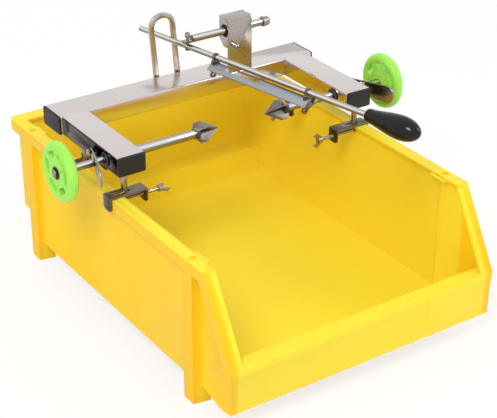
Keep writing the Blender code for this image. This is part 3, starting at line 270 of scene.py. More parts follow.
@dataclass(frozen=True)
class Moulding:
    """Injection-moulded plastic or rubber.

    Cloudy colour from the melt's flow, a faint orange peel from the mould and, where light
    enters the wall, a soft glow under the surface. A moulding can get painted light: a paler
    colour inside and on faces that look up, for light through its thin walls and from above.
    Its thick outer parts are deeper in colour, partly for their thickness and partly as painted
    shade.
    """

    name: str
    colour: str
    cloud: str
    roughness: float
    cloud_size: float             # size of the melt's clouds
    peel_size: float              # size of the orange peel, drawn coarse so that it shows
    peel: float
    peel_depth: float = 0.0004
    gloss: Pair = (0.88, 1.12)    # least and most roughness, as shares of the plain one
    glow: float = 0.0
    glow_depth: float = 0.004
    level: float = 0.5
    painted_light: str = ""              # colour of the painted light inside and on top
    thick_and_shaded: str = ""               # colour of the thick outer parts: partly their thickness, partly painted shade
    middle: Triple = (0.0, 0.0, 0.0)    # middle of the hollow
    half: Triple = (1.0, 1.0, 1.0)      # half its size
    thick_and_shaded_from: float = 1.0       # distance from the middle plane where the thick, painted-shade parts begin
    thick_and_shaded_blend: float = 0.004    # width of the change to their colour
    painted_light_blend: float = 0.996   # share of the hollow's size that has the whole painted light
    painted_top_from: Pair = (0.45, 0.8)  # how far up a face looks where the painted light begins

    def zones(self, tree: Tree, place: Socket,
              colour: Socket) -> Socket:
        """Return the colour with painted light inside and on top and painted shade on thick parts.

        Args:
            tree: The material's tree.
            place: The socket of the object coordinates.
            colour: The ground colour's socket.

        Returns:
            The new colour's socket.
        """
        away = add_node(tree, "ShaderNodeVectorMath", {0: place, 1: self.middle},
                        operation="SUBTRACT")
        away = add_node(tree, "ShaderNodeVectorMath", {0: away.outputs[0]}, operation="ABSOLUTE")
        scaled = add_node(tree, "ShaderNodeVectorMath", {0: away.outputs[0], 1: self.half},
                          operation="DIVIDE")
        parts = add_node(tree, "ShaderNodeSeparateXYZ", {0: scaled.outputs[0]})
        far = add_node(tree, "ShaderNodeMath", {0: parts.outputs[0], 1: parts.outputs[1]},
                       operation="MAXIMUM")
        far = add_node(tree, "ShaderNodeMath", {0: far.outputs[0], 1: parts.outputs[2]},
                       operation="MAXIMUM")
        inside = add_node(tree, "ShaderNodeMapRange", {
            "Value": far.outputs[0], "From Min": 1.0, "From Max": self.painted_light_blend})
        normal = add_node(tree, "ShaderNodeNewGeometry").outputs["Normal"]
        height = add_node(tree, "ShaderNodeSeparateXYZ", {0: normal}).outputs["Z"]
        upward = add_node(tree, "ShaderNodeMapRange", {
            "Value": height, "From Min": self.painted_top_from[0], "From Max": self.painted_top_from[1]})
        # painted light: paler inside the box and on faces that look up
        pale = add_node(tree, "ShaderNodeMath", {0: inside.outputs[0], 1: upward.outputs[0]},
                        operation="MAXIMUM")
        # painted shade, partly real thickness: the thick outer parts are deeper in colour
        outer = add_node(tree, "ShaderNodeMapRange", {
            "Value": add_node(tree, "ShaderNodeSeparateXYZ", {0: away.outputs[0]}).outputs[0],
            "From Min": self.thick_and_shaded_from, "From Max": self.thick_and_shaded_from + self.thick_and_shaded_blend})
        colour = add_node(tree, "ShaderNodeMix", {
            0: outer.outputs[0], MIX_A: colour, MIX_B: linear(self.thick_and_shaded)},
            data_type="RGBA").outputs[MIX_RESULT]
        return add_node(tree, "ShaderNodeMix", {
            0: pale.outputs[0], MIX_A: colour, MIX_B: linear(self.painted_light)},
            data_type="RGBA").outputs[MIX_RESULT]

    def build(self) -> bpy.types.Material:
        """Return the node material."""
        made, tree = new_material(self.name)
        place = add_node(tree, "ShaderNodeTexCoord").outputs["Object"]
        flow = add_node(tree, "ShaderNodeTexNoise", {
            "Vector": place, "Scale": 1.0 / self.cloud_size, "Detail": 3.0, "Roughness": 0.5})
        share = add_node(tree, "ShaderNodeMapRange", {
            "Value": flow.outputs[0], "From Min": NOISE_LOW, "From Max": NOISE_HIGH})
        colour = add_node(tree, "ShaderNodeMix", {
            0: share.outputs[0], MIX_A: linear(self.colour), MIX_B: linear(self.cloud)},
            data_type="RGBA").outputs[MIX_RESULT]
        # painted light and painted shade by zone
        if self.painted_light:
            colour = self.zones(tree, place, colour)
        skin = add_node(tree, "ShaderNodeTexNoise", {
            "Vector": place, "Scale": 1.0 / self.peel_size, "Detail": 2.0, "Roughness": 0.5})
        gloss = add_node(tree, "ShaderNodeMapRange", {
            "Value": skin.outputs[0], "From Min": NOISE_LOW, "From Max": NOISE_HIGH,
            "To Min": self.roughness * self.gloss[0],
            "To Max": self.roughness * self.gloss[1]})
        relief = add_node(tree, "ShaderNodeBump", {
            "Strength": self.peel, "Distance": self.peel_depth, "Height": skin.outputs[0]})
        close_material(tree, {
            "Base Color": colour, "Roughness": gloss.outputs[0],
            "Normal": relief.outputs[0], "Subsurface Weight": self.glow,
            "Subsurface Radius": (1.0, 0.5, 0.1), "Subsurface Scale": self.glow_depth,
            "IOR": 1.49, "Specular IOR Level": self.level})
        return made


GRIT = 0.0010                     # a real grit line is 0.1 mm, drawn wider so that it shows
DRAWN = 0.0008                    # a drawn bar's line, wider than the real one for that too
TUBE_STREAK = 0.060               # length of a grit line on a tube
KNIFE_YAW = math.radians(12.0)    # how far the knife rod is turned from straight ahead
# Painted reflections of a bar's surroundings: colours by how far a face looks up
PAINTED_REFLECTION_BANDS = ((-1.0, "#6A5844"), (-0.55, "#4A4038"), (-0.15, "#A09A94"), (0.12, "#63605D"),
             (0.32, "#B4B0AD"), (0.60, "#F2F1EF"), (0.84, "#D9D6D3"), (1.0, "#9C9895"))

# Satin and a little translucent: broad soft highlights, painted light inside and on top, painted
# shade on the thick outer parts
YELLOW = Moulding("yellow_polypropylene", "#FAD322", "#F8CC18", 0.42, 0.11, 0.0022, 0.06,
                  glow=0.20, glow_depth=0.006, level=0.22, painted_light="#FAE03A", thick_and_shaded="#F7C61A",
                  middle=(0.0, -0.00975, 0.10775), half=(0.1838, 0.26525, 0.08025),
                  thick_and_shaded_from=0.1855)
# Satin and bright, with a faint glow at the wheel's thin edges
LIME = Moulding("lime_nylon", "#A6E85A", "#9AE24E", 0.34, 0.03, 0.0015, 0.08, glow=0.15,
                level=0.35)
# Matt: the plugs read as flat dark faces with a soft grey rim
BLACK_CAP = Moulding("black_polyethylene", "#1F1E20", "#262527", 0.50, 0.02, 0.0012, 0.10,
                     level=0.3)
# Dull dark grey, so that the bushes part the steel of arm and sleeve
NYLON = Moulding("grey_nylon", "#3A3836", "#464442", 0.50, 0.01, 0.0008, 0.08, level=0.3)
# Nearly without gloss
RUBBER = Moulding("black_rubber", "#232325", "#1B1B1D", 0.65, 0.01, 0.0008, 0.12, level=0.25)
# Turned and polished: small bright highlights on near black
GRIP = Moulding("glossy_black_phenolic", "#0A0A0C", "#101012", 0.14, 0.03, 0.0040, 0.02,
                level=0.3)


def tube_steel(name: str, along: Triple, toward: Triple) -> Steel:
    """Return a square tube's brushed finish, with painted shade on its outer side.

    Args:
        name: The finish's name.
        along: One on the tube's own axis and zero on the others.
        toward: Direction of the faces with the painted shade.

    Returns:
        The finish: pale and softly mirroring on top, with painted shade on the outer side.
    """
    grain = tuple(TUBE_STREAK if share else GRIT for share in along)
    # painted shade on the outer side, for the dark surroundings that it mirrors
    return Steel(name, "#DAD3D1", "#D0C8C6", 0.20, grain, painted_shade="#332B29", toward=toward)


# Upright brushing, whose blurred mirror takes up the colour of what stands before it
SHEET = Steel("brushed_stainless_sheet", "#B9B1AC", "#A39B96", 0.26, (GRIT, GRIT, 0.040))
# Warm and smooth, with long highlights round the bend
LOOP_STEEL = Steel("bent_stainless_flat_bar", "#C9BFB6", "#ADA298", 0.24, (GRIT, GRIT, 0.030))
# Drawn bright, with painted reflections: white and dark lines along the bar
BAR = Steel("polished_stainless_bar", "#D6D1CF", "#B7B1AE", 0.15, (0.030, DRAWN, DRAWN),
            bump=0.02, painted_bands=PAINTED_REFLECTION_BANDS)
# The same painted reflection lines along the knife rod, brighter and sharper
KNIFE_BAR = Steel("polished_stainless_knife_rod", "#DBD6D4", "#B9B3B0", 0.13,
                  (DRAWN, 0.040, DRAWN), turn=KNIFE_YAW, bump=0.02, painted_bands=PAINTED_REFLECTION_BANDS)
# Cut sheet, with painted shade on the faces towards the front
PRONG_STEEL = Steel("cut_prong_sheet", "#B2ACA8", "#948D88", 0.24, (0.012, GRIT, GRIT),
                    painted_shade="#5A524D", toward=(0.0, -1.0, 0.0))
# Cool and dull from grinding, with lines along the edge
BLADE_STEEL = Steel("ground_blade_steel", "#AEB3B8", "#969BA0", 0.34, (GRIT, 0.025, GRIT),
                    turn=KNIFE_YAW, bump=0.05)
# Brownish pressed steel with a rough sheen
BRACKET_STEEL = Steel("pressed_bracket_steel", "#857A72", "#6B625B", 0.30, (GRIT, GRIT, 0.012))
# Pressed and paler, with a soft even sheen
LEVER_STEEL = Steel("pressed_lever_steel", "#A9A19C", "#8B837E", 0.28, (GRIT, 0.020, GRIT))
# Pressed and dull, with painted shade on its left faces
CLAMP_STEEL = Steel("pressed_clamp_steel", "#8E8480", "#6F6662", 0.32, (0.014, GRIT, GRIT),
                    painted_shade="#4F4846", toward=(-1.0, 0.0, 0.0))
# Turned, with fine rings that break the highlight
SCREW_STEEL = Steel("turned_screw_steel", "#B4ADA8", "#8C847F", 0.22, (0.0009, 0.004, 0.004))


# Shapes


def arc(middle: Pair, radius: float, start: float, end: float, steps: int) -> list[Pair]:
    """Return points on a circle from one angle to another.

    Args:
        middle: The circle's middle.
        radius: Its radius.
        start: First angle in degrees.
        end: Last angle in degrees.
        steps: Number of steps between them.

    Returns:
        The points, both ends among them.
    """
    angles = [math.radians(start + (end - start) * step / steps) for step in range(steps + 1)]
    return [(middle[0] + radius * math.cos(angle), middle[1] + radius * math.sin(angle))
            for angle in angles]


def hexagon(radius: float) -> list[Pair]:
    """Return the corners of a hexagon round zero."""
    return arc((0.0, 0.0), radius, 0, 300, 5)


def aim(origin: Sequence[float], toward: Sequence[float]) -> Matrix:
    """Return the matrix that puts local X on a direction from an origin."""
    turn = Vector((1.0, 0.0, 0.0)).rotation_difference(Vector(toward))
    return Matrix.Translation(Vector(origin)) @ turn.to_matrix().to_4x4()


def lathe(profile: Sequence[Pair], place: Matrix, steps: int = SMALL_STEPS,
          closed: bool = False) -> Shape:
    """Spin a profile about local X.

    Args:
        profile: Pairs of distance along the axis and radius.
        place: Matrix from the local axis to the object's frame.
        steps: Number of steps round the axis.
        closed: Whether the last point joins the first, as on a ring.

    Returns:
        The closed shape.
    """
    shape = bmesh.new()
    verts = [shape.verts.new((along, radius, 0.0)) for along, radius in profile]
    ends = verts[1:] + verts[:1] if closed else verts[1:]
    edges = [shape.edges.new(pair) for pair in zip(verts, ends)]
    bmesh.ops.spin(shape, geom=verts + edges, cent=(0.0, 0.0, 0.0), axis=(1.0, 0.0, 0.0),
                   angle=math.tau, steps=steps, use_merge=True)
    bmesh.ops.remove_doubles(shape, verts=shape.verts, dist=WELD)
    bmesh.ops.recalc_face_normals(shape, faces=shape.faces)
    bmesh.ops.transform(shape, matrix=place, verts=shape.verts)
    return shape


def cylinder(start: float, end: float, radius: float, place: Matrix,
             steps: int = SMALL_STEPS) -> Shape:
    """Return a cylinder along local X."""
    return lathe([(start, 0.0), (start, radius), (end, radius), (end, 0.0)], place, steps)


def tube(start: float, end: float, inner: float, outer: float, place: Matrix,
         steps: int = SMALL_STEPS) -> Shape:
    """Return a round tube along local X."""
    return lathe([(start, inner), (start, outer), (end, outer), (end, inner)], place, steps,
                 closed=True)


def slab(outline: Sequence[Pair], start: float, end: float, place: Matrix) -> Shape:
    """Extrude an outline in local Y and Z along local X.

    Args:
        outline: Corner pairs, in order.
        start: Where the slab begins along X.
        end: Where it ends.
        place: Matrix from the local axes to the object's frame.

    Returns:
        The closed shape.
    """
    shape = bmesh.new()
    face = shape.faces.new([shape.verts.new((start, one, other)) for one, other in outline])
    moved = bmesh.ops.extrude_face_region(shape, geom=[face])["geom"]
    bmesh.ops.translate(shape, vec=(end - start, 0.0, 0.0),
                        verts=[item for item in moved if isinstance(item, bmesh.types.BMVert)])
    bmesh.ops.recalc_face_normals(shape, faces=shape.faces)
    bmesh.ops.transform(shape, matrix=place, verts=shape.verts)
    return shape


def soften(shape: Shape, radius: float, segments: int = 2,
           chosen: Callable[[bmesh.types.BMEdge], bool] | None = None) -> Shape:
    """Round the sharp edges of a shape.

    Args:
        shape: The shape, changed in place.
        radius: Width of the rounding.
        segments: Steps across it.
        chosen: Test that an edge has to pass besides being sharp.

    Returns:
        The same shape.
    """
    sharp = [edge for edge in shape.edges if edge.is_manifold
             and edge.calc_face_angle() > SHARP_ANGLE and (chosen is None or chosen(edge))]
    bmesh.ops.bevel(shape, geom=sharp, offset=radius, segments=segments, profile=0.5,
                    affect="EDGES", material=-1, clamp_overlap=True)
    return shape


def unite(shapes: Iterable[Shape]) -> Shape:
    """Put several closed shapes into one mesh.

    Args:
        shapes: The shapes, freed here.

    Returns:
        The mesh that holds them all.
    """
    whole = bmesh.new()
    for shape in shapes:
        part = bpy.data.meshes.new("part")
        shape.to_mesh(part)
        shape.free()
        whole.from_mesh(part)
        bpy.data.meshes.remove(part)
    return whole


def stand(name: str, shape: Shape) -> bpy.types.Object:
    """Put a shape into the scene.

    Args:
        name: The name of the object and its mesh.
        shape: The shape, freed here.

    Returns:
        The object.
    """
    mesh = bpy.data.meshes.new(name)
    shape.to_mesh(mesh)
    shape.free()
    made = bpy.data.objects.new(name, mesh)
    bpy.context.scene.collection.objects.link(made)
    return made


def carve(shape: Shape, tool: Shape) -> Shape:
    """Cut a tool out of a shape.

    Args:
        shape: The shape, freed here.
        tool: The cutter, freed here.

    Returns:
        The new shape.
    """
    body, cutter = (stand("operand", part) for part in (shape, tool))
    change = body.modifiers.new("cut", "BOOLEAN")
    change.object = cutter
    change.operation = "DIFFERENCE"
    change.solver = "EXACT"
    graph = bpy.context.evaluated_depsgraph_get()
    result = bmesh.new()
    result.from_mesh(body.evaluated_get(graph).to_mesh())
    for operand in (body, cutter):
        mesh = operand.data
        bpy.data.objects.remove(operand)
        bpy.data.meshes.remove(mesh)
    return result


def copied(node: str) -> Shape:
    """Copy a frame node's mesh, merged and with its flat faces whole.

    Args:
        node: The node's name.

    Returns:
        The copy.
    """
    shape = bmesh.new()
    shape.from_mesh(frame["nodes"][node].data)
    bmesh.ops.remove_doubles(shape, verts=shape.verts, dist=WELD)
    bmesh.ops.dissolve_limit(shape, angle_limit=FLAT_ANGLE, verts=shape.verts, edges=shape.edges)
    return shape


class Workshop:
    """Makes objects of shapes, dresses them and hands them to the frame."""

    def __init__(self) -> None:
        """Read which body and which slot each node has."""
        record = frame["record"]
        self.bodies: dict[str, str] = {
            node: body for body, nodes in record["behaviour"]["bodies"].items() for node in nodes}
        self.slots: dict[str, str] = {
            part["node"]: part["material_slot"] for part in record["subparts"]}
        self.materials: dict[str, bpy.types.Material] = {}

    def material(self, finish: Finish) -> bpy.types.Material:
        """Make the finish's material once.

        Args:
            finish: The finish.

        Returns:
            Its material.
        """
        if finish.name not in self.materials:
            self.materials[finish.name] = finish.build()
        return self.materials[finish.name]

    def add(self, name: str, shape: Shape, finish: Finish, node: str,
            edge: float = 0.0, stands_for: bool = True) -> None:
        """Turn a shape into a piece.

        Args:
            name: The piece's name.
            shape: Its shape in the object's frame, freed here.
            finish: Its finish.
            node: The frame node whose body it has.
            edge: Radius of its rounded edges, or zero for none.
            stands_for: Whether the piece takes the node's place.
        """
        piece = stand(name, shape)
        mesh = piece.data
        mesh.shade_smooth()
        mesh.materials.append(self.material(finish))
        if edge:
            round_off = piece.modifiers.new("edges", "BEVEL")
            round_off.width = edge
            round_off.segments = 2
            round_off.limit_method = "ANGLE"
            round_off.angle_limit = SHARP_ANGLE
            round_off.harden_normals = True
        else:
            mesh.set_sharp_from_angle(angle=SHARP_ANGLE)
        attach(piece, self.bodies[node])
        if stands_for:
            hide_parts(node)
        log.info("%s on %s", name, self.bodies[node])


# Sub-assemblies


@dataclass
class SubAssembly:
    """A group of pieces that belong together on the bench."""

    shop: Workshop


@dataclass
class CatchBin(SubAssembly):
    """The hopper-front bin that the frame is clamped to."""

    edge: float = 0.0018

    def build(self) -> None:
        """Add the bin."""
        self.shop.add("catch_bin_moulding", copied("catch_bin"), YELLOW, "catch_bin", self.edge)


@dataclass
class TubeFrame(SubAssembly):
    """Two arms, the rear rail and the plugs in their ends."""

    edge: float = 0.0003
    plug_edge: float = 0.0008
    weld: float = 0.0028          # an arm's end reaches over the rail's rounded edge

    def build(self) -> None:
        """Add the tubes and the plugs."""
        for side in Side:
            # painted shade on each arm's outer side
            steel = tube_steel(f"brushed_stainless_{side.value}_arm", (0.0, 1.0, 0.0),
                               (float(side.sign), 0.0, 0.0))
            node = f"{side.value}_arm"
            arm = copied(node)
            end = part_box(node)[1].y - GAP
            bmesh.ops.translate(arm, vec=(0.0, self.weld, 0.0),
                                verts=[vert for vert in arm.verts if vert.co.y > end])
            self.shop.add(node + "_tube", arm, steel, node, self.edge)
            for bar in ("arm", "rail"):
                node = f"{side.value}_{bar}_cap"
                self.shop.add(node + "_plug", copied(node), BLACK_CAP, node, self.plug_edge)
        # painted shade on the rail's rear face
        steel = tube_steel("brushed_stainless_rail", (1.0, 0.0, 0.0), (0.0, 1.0, 0.0))
        self.shop.add("rear_rail_tube", copied("rear_rail"), steel, "rear_rail", self.edge)


@dataclass
class Spindle(SubAssembly):
    """One side's sleeve, shaft, prongs, handwheel, hub and bushes.

    Distances run outward from the arm's outer wall along the spindle's axis.
    """

    side: Side
    wheel_middle: float           # the wheel's middle
    stub: float                   # thread beyond the hub nut
    reach: float                  # prong hub's back inside the arm's inner wall
    wall: float                   # the arm's outer wall along X
    tube: float = 0.038           # width of the arm
    wheel_width: float = 0.0145
    wheel_radius: float = 0.0375
    wheel_bore: float = 0.0033
    rim_round: float = 0.0064
    rim_width: float = 0.0085
    dish: float = 0.0016
    dish_slope: float = 1.5       # width of the dish's slope, in its depths
    dish_start: float = 0.4       # how deep the slope begins, in its depths
    hub_radius: float = 0.0125
    holes: int = 6
    hole_radius: float = 0.0042
    hole_reach: float = 0.0055
    hole_circle: float = 0.0228
    hole_edge: float = 0.0008
    hole_band: float = 0.00966    # edges this near the holes' circle are the holes' own
    ring_radius: float = 0.0078
    ring_depth: float = 0.0012
    nut_radius: float = 0.0055
    nut_depth: float = 0.0022
    core: float = 0.0030
    sleeve: float = 0.0047
    shaft: float = 0.0061
    shoulder: float = 0.020
    edge: float = 0.0004

    @property
    def place(self) -> Matrix:
        """Return the matrix from the outward axis to the object's frame."""
        return aim((self.wall, *SPINDLE_AXIS), (float(self.side.sign), 0.0, 0.0))

    def wheel(self) -> Shape:
        """Return the handwheel with its oval windows."""
        start = self.wheel_middle - self.wheel_width / 2
        end = start + self.wheel_width
        inner = self.wheel_radius - self.rim_width
        level = self.wheel_radius - self.rim_round
        soft = self.dish * self.dish_slope
        first = self.dish * self.dish_start
        profile = [(start, self.wheel_bore), (start, self.hub_radius - self.dish),
                   (start + first, self.hub_radius),
                   (start + self.dish, self.hub_radius + soft),
                   (start + self.dish, inner - soft), (start + first, inner),
                   (start, inner + self.dish)]
        profile += arc((start + self.rim_round, level), self.rim_round, 180, 90, EDGE_STEPS)
        profile += arc((end - self.rim_round, level), self.rim_round, 90, 0, EDGE_STEPS)
        profile += [(end, inner + self.dish), (end - first, inner),
                    (end - self.dish, inner - soft), (end - self.dish, self.wheel_bore)]
        shape = lathe(profile, Matrix(), WHEEL_STEPS, closed=True)
        windows = []
        half = SMALL_STEPS // 2
        for index in range(self.holes):
            oval = (arc((self.hole_reach, self.hole_circle), self.hole_radius, -90, 90, half)
                    + arc((-self.hole_reach, self.hole_circle), self.hole_radius, 90, 270, half))
            turn = Matrix.Rotation(math.tau * index / self.holes, 4, "X")
            windows.append(slab(oval, start - OVERRUN, end + OVERRUN, turn))
        shape = carve(shape, unite(windows))
        soften(shape, self.hole_edge, 3, lambda edge: all(
            abs(math.hypot(vert.co.y, vert.co.z) - self.hole_circle) < self.hole_band
            for vert in edge.verts))
        bmesh.ops.transform(shape, matrix=self.place, verts=shape.verts)
        return shape

    def hub(self) -> None:
        """Add the rubber ring and the nut in front of the wheel."""
        name = self.side.value
        low = self.wheel_middle + self.wheel_width / 2 - self.dish + GAP
        high = low + self.ring_depth
        ring = tube(low, high, self.core + GAP, self.ring_radius, self.place)
        self.shop.add(f"{name}_hub_washer", soften(ring, self.edge), RUBBER, f"{name}_hub_ring")
        low = high + GAP
        high = low + self.nut_depth
        nut = slab(hexagon(self.nut_radius), low, high, Matrix())
        bore = cylinder(low - OVERRUN, high + OVERRUN, self.core + GAP, Matrix())
        nut = soften(carve(nut, bore), self.edge)
        bmesh.ops.transform(nut, matrix=self.place, verts=nut.verts)
        self.shop.add(f"{name}_hub_hexagon_nut", nut, BAR, f"{name}_hub_nut")

    def rods(self) -> None:
        """Add the sliding sleeve and the shaft that turns in it."""
        name = self.side.value
        back = -self.tube - self.reach
        end = self.wheel_middle + self.wheel_width / 2 - self.dish + GAP
        tail = end + self.ring_depth + GAP + self.nut_depth + self.stub
        inner_end = -self.shoulder if self.side is Side.LEFT else back + GAP
        outer_end = self.wheel_middle - self.wheel_width / 2 - GAP
        sleeve = tube(inner_end, outer_end, self.core + GAP, self.sleeve, self.place)
        self.shop.add(f"{name}_sliding_sleeve", soften(sleeve, self.edge), BAR, f"{name}_sleeve")
        if self.side is Side.LEFT:
            profile = [(back + GAP, 0.0), (back + GAP, self.shaft), (inner_end - GAP, self.shaft),
                       (inner_end - GAP, self.core), (tail, self.core), (tail, 0.0)]
        else:
            profile = [(back - self.core, 0.0), (back - self.core, self.core), (tail, self.core),
                       (tail, 0.0)]
        shaft = soften(lathe(profile, self.place), self.edge)
        self.shop.add(f"{name}_spindle_shaft", shaft, BAR, f"{name}_spindle")

    def build(self) -> None:
        """Add all of the side's pieces."""
        name = self.side.value
        self.shop.add(f"{name}_spoked_wheel", self.wheel(), LIME, f"{name}_handwheel")
        self.hub()
        self.rods()
        node = f"{name}_prongs"
        self.shop.add(node + "_cross", copied(node), PRONG_STEEL, node, self.edge)
        for place in ("outer", "inner"):
            node = f"{name}_{place}_bush"
            self.shop.add(node + "_ring", copied(node), NYLON, node, self.edge)


@dataclass
class LockLever(SubAssembly):
    """One tilted lock plate and the stud that it turns on."""

    side: Side
    edge: float = 0.0005

    def build(self) -> None:
        """Add the plate and the stud."""
        for part, finish in (("lock_plate", LEVER_STEEL), ("lock_stud", SCREW_STEEL)):
            node = f"{self.side.value}_{part}"
            self.shop.add(node + "_pressing", copied(node), finish, node, self.edge)


@dataclass
class KnifeTower(SubAssembly):
    """The upright plate, its head block, the rest peg and the support rod's bush."""

    left: float = 0.063
    right: float = 0.1005
    front: float = 0.1224
    depth: float = 0.0226
    bottom: float = 0.2473
    split: float = 0.282          # underside of the head block
    top: float = 0.323
    plate: float = 0.003
    corner: float = 0.006
    chamfer: float = 0.010
    bush: float = 0.0083
    bush_wall: float = 0.003
    rivet_radius: float = 0.0013
    rivet_proud: float = 0.0004
    rivet_shoulder: float = 0.7   # where the head turns over, in its height and radius
    rivet_inset: Pair = (0.0085, 0.0070)
    peg_round: float = 0.4        # rounding of the peg's end, in its radii
    edge: float = 0.0006

    def front_plate(self) -> None:
        """Add the plate that runs to the top, with two rivet heads."""
        turn = aim((0.0, 0.0, 0.0), (0.0, 1.0, 0.0))
        wide = self.right - self.left
        round_in = self.corner
        outline = ([(-self.right, self.bottom), (-self.left, self.bottom)]
                   + arc((-self.left - round_in, self.top - round_in), round_in, 0, 90, EDGE_STEPS)
                   + arc((-self.right + round_in, self.top - round_in), round_in, 90, 180,
                         EDGE_STEPS))
        plate = soften(slab(outline, self.front, self.front + self.plate, turn), self.edge)
        self.shop.add("tower_front_plate", plate, SHEET, "tower_plate")
        rivets = []
        for inset in (self.rivet_inset[0], wide - self.rivet_inset[0]):
            dome = [(-GAP, 0.0), (-GAP, self.rivet_radius), (0.0, self.rivet_radius),
                    (self.rivet_proud * self.rivet_shoulder,
                     self.rivet_radius * self.rivet_shoulder), (self.rivet_proud, 0.0)]
            spot = (self.left + inset, self.front, self.top - self.rivet_inset[1])
            rivets.append(lathe(dome, aim(spot, (0.0, -1.0, 0.0)), RIVET_STEPS))
        self.shop.add("tower_rivets", unite(rivets), BAR, "tower_plate", stands_for=False)

    def block(self) -> None:
        """Add the head block behind the plate, with the bush's bore."""
        turn = aim((0.0, 0.0, 0.0), (1.0, 0.0, 0.0))
        start = self.front + self.plate
        back = self.front + self.depth
        outline = [(start, self.split), (back - self.chamfer, self.split),
                   (back, self.split + self.chamfer), (back, self.top), (start, self.top)]
        shape = slab(outline, self.left, self.right, turn)
        bore = cylinder(self.left - OVERRUN, self.right + OVERRUN, self.bush + GAP,
                        Matrix.Translation((0.0, *SUPPORT_AXIS)), ROUND_STEPS)
        shape = soften(carve(shape, bore), self.edge)
        self.shop.add("tower_head_block", shape, SHEET, "tower_head")

    def build(self) -> None:
        """Add the tower's pieces."""
        self.front_plate()
        self.block()
        low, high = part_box("rest_peg")
        radius = (high.x - low.x) / 2
        length = high.y - low.y
        middle = (low + high) / 2
        turn = radius * self.peg_round
        profile = [(0.0, 0.0), (0.0, radius)] + arc(
            (length - turn, radius - turn), turn, 90, 0, EDGE_STEPS // 2) + [(length, 0.0)]
        peg = lathe(profile, aim((middle.x, high.y, middle.z), (0.0, -1.0, 0.0)))
        self.shop.add("rest_peg_pin", peg, BAR, "rest_peg")
        low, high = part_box("pivot_bush")
        outer = (high.z - low.z) / 2
        ring = tube(low.x, high.x, outer - self.bush_wall, outer,
                    Matrix.Translation((0.0, *SUPPORT_AXIS)), ROUND_STEPS)
        self.shop.add("pivot_bush_ring", soften(ring, self.edge), RUBBER, "pivot_bush")


@dataclass
class SupportRod(SubAssembly):
    """The rod that carries the knife and its domed stop nut."""

    radius: float = 0.0050
    start: float = -0.0010
    end: float = 0.1305
    flat_end: float = 0.0118
    flat_height: float = 0.0040
    pin: float = 0.0053
    pin_bore: float = 0.0021
    nut_start: float = 0.1225
    collar: float = 0.0040
    nut_length: float = 0.0070
    dome: float = 0.0060
    nut_radius: float = 0.0070
    nut_neck: float = 0.90        # neck under the dome, in the nut's radii
    nut_dome: float = 0.92        # the dome itself
    edge: float = 0.0005

    def build(self) -> None:
        """Add the rod and the nut."""
        place = Matrix.Translation((0.0, *SUPPORT_AXIS))
        rod = cylinder(self.start, self.end, self.radius, place, ROUND_STEPS)
        low = self.flat_height - self.radius
        wide = self.radius + OVERRUN
        flat = slab([(-wide, low), (wide, low), (wide, wide), (-wide, wide)],
                    self.start - OVERRUN, self.flat_end, place)
        bore = cylinder(-wide, wide, self.pin_bore,
                        aim((self.pin, *SUPPORT_AXIS), (0.0, 0.0, 1.0)))
        rod = carve(carve(rod, flat), bore)
        self.shop.add("support_rod_bar", soften(rod, self.edge), BAR, "support_rod")
        bore_radius = self.radius + GAP
        inner_end = self.end + GAP
        top = self.nut_start + self.nut_length
        dome_radius = self.nut_radius * self.nut_dome
        profile = [(self.nut_start, bore_radius), (self.nut_start, self.nut_radius - self.edge),
                   (self.nut_start + self.edge, self.nut_radius),
                   (self.nut_start + self.collar, self.nut_radius),
                   (self.nut_start + self.collar + self.edge, self.nut_radius * self.nut_neck),
                   (top, dome_radius)]
        profile += [(top + self.dome * math.sin(angle), dome_radius * math.cos(angle))
                    for angle in (math.radians(90.0 * step / DOME_STEPS)
                                  for step in range(1, DOME_STEPS))]
        profile += [(top + self.dome, 0.0), (inner_end, 0.0), (inner_end, bore_radius)]
        nut = lathe(profile, place, ROUND_STEPS, closed=True)
        self.shop.add("stop_nut_dome", nut, SCREW_STEEL, "stop_nut")


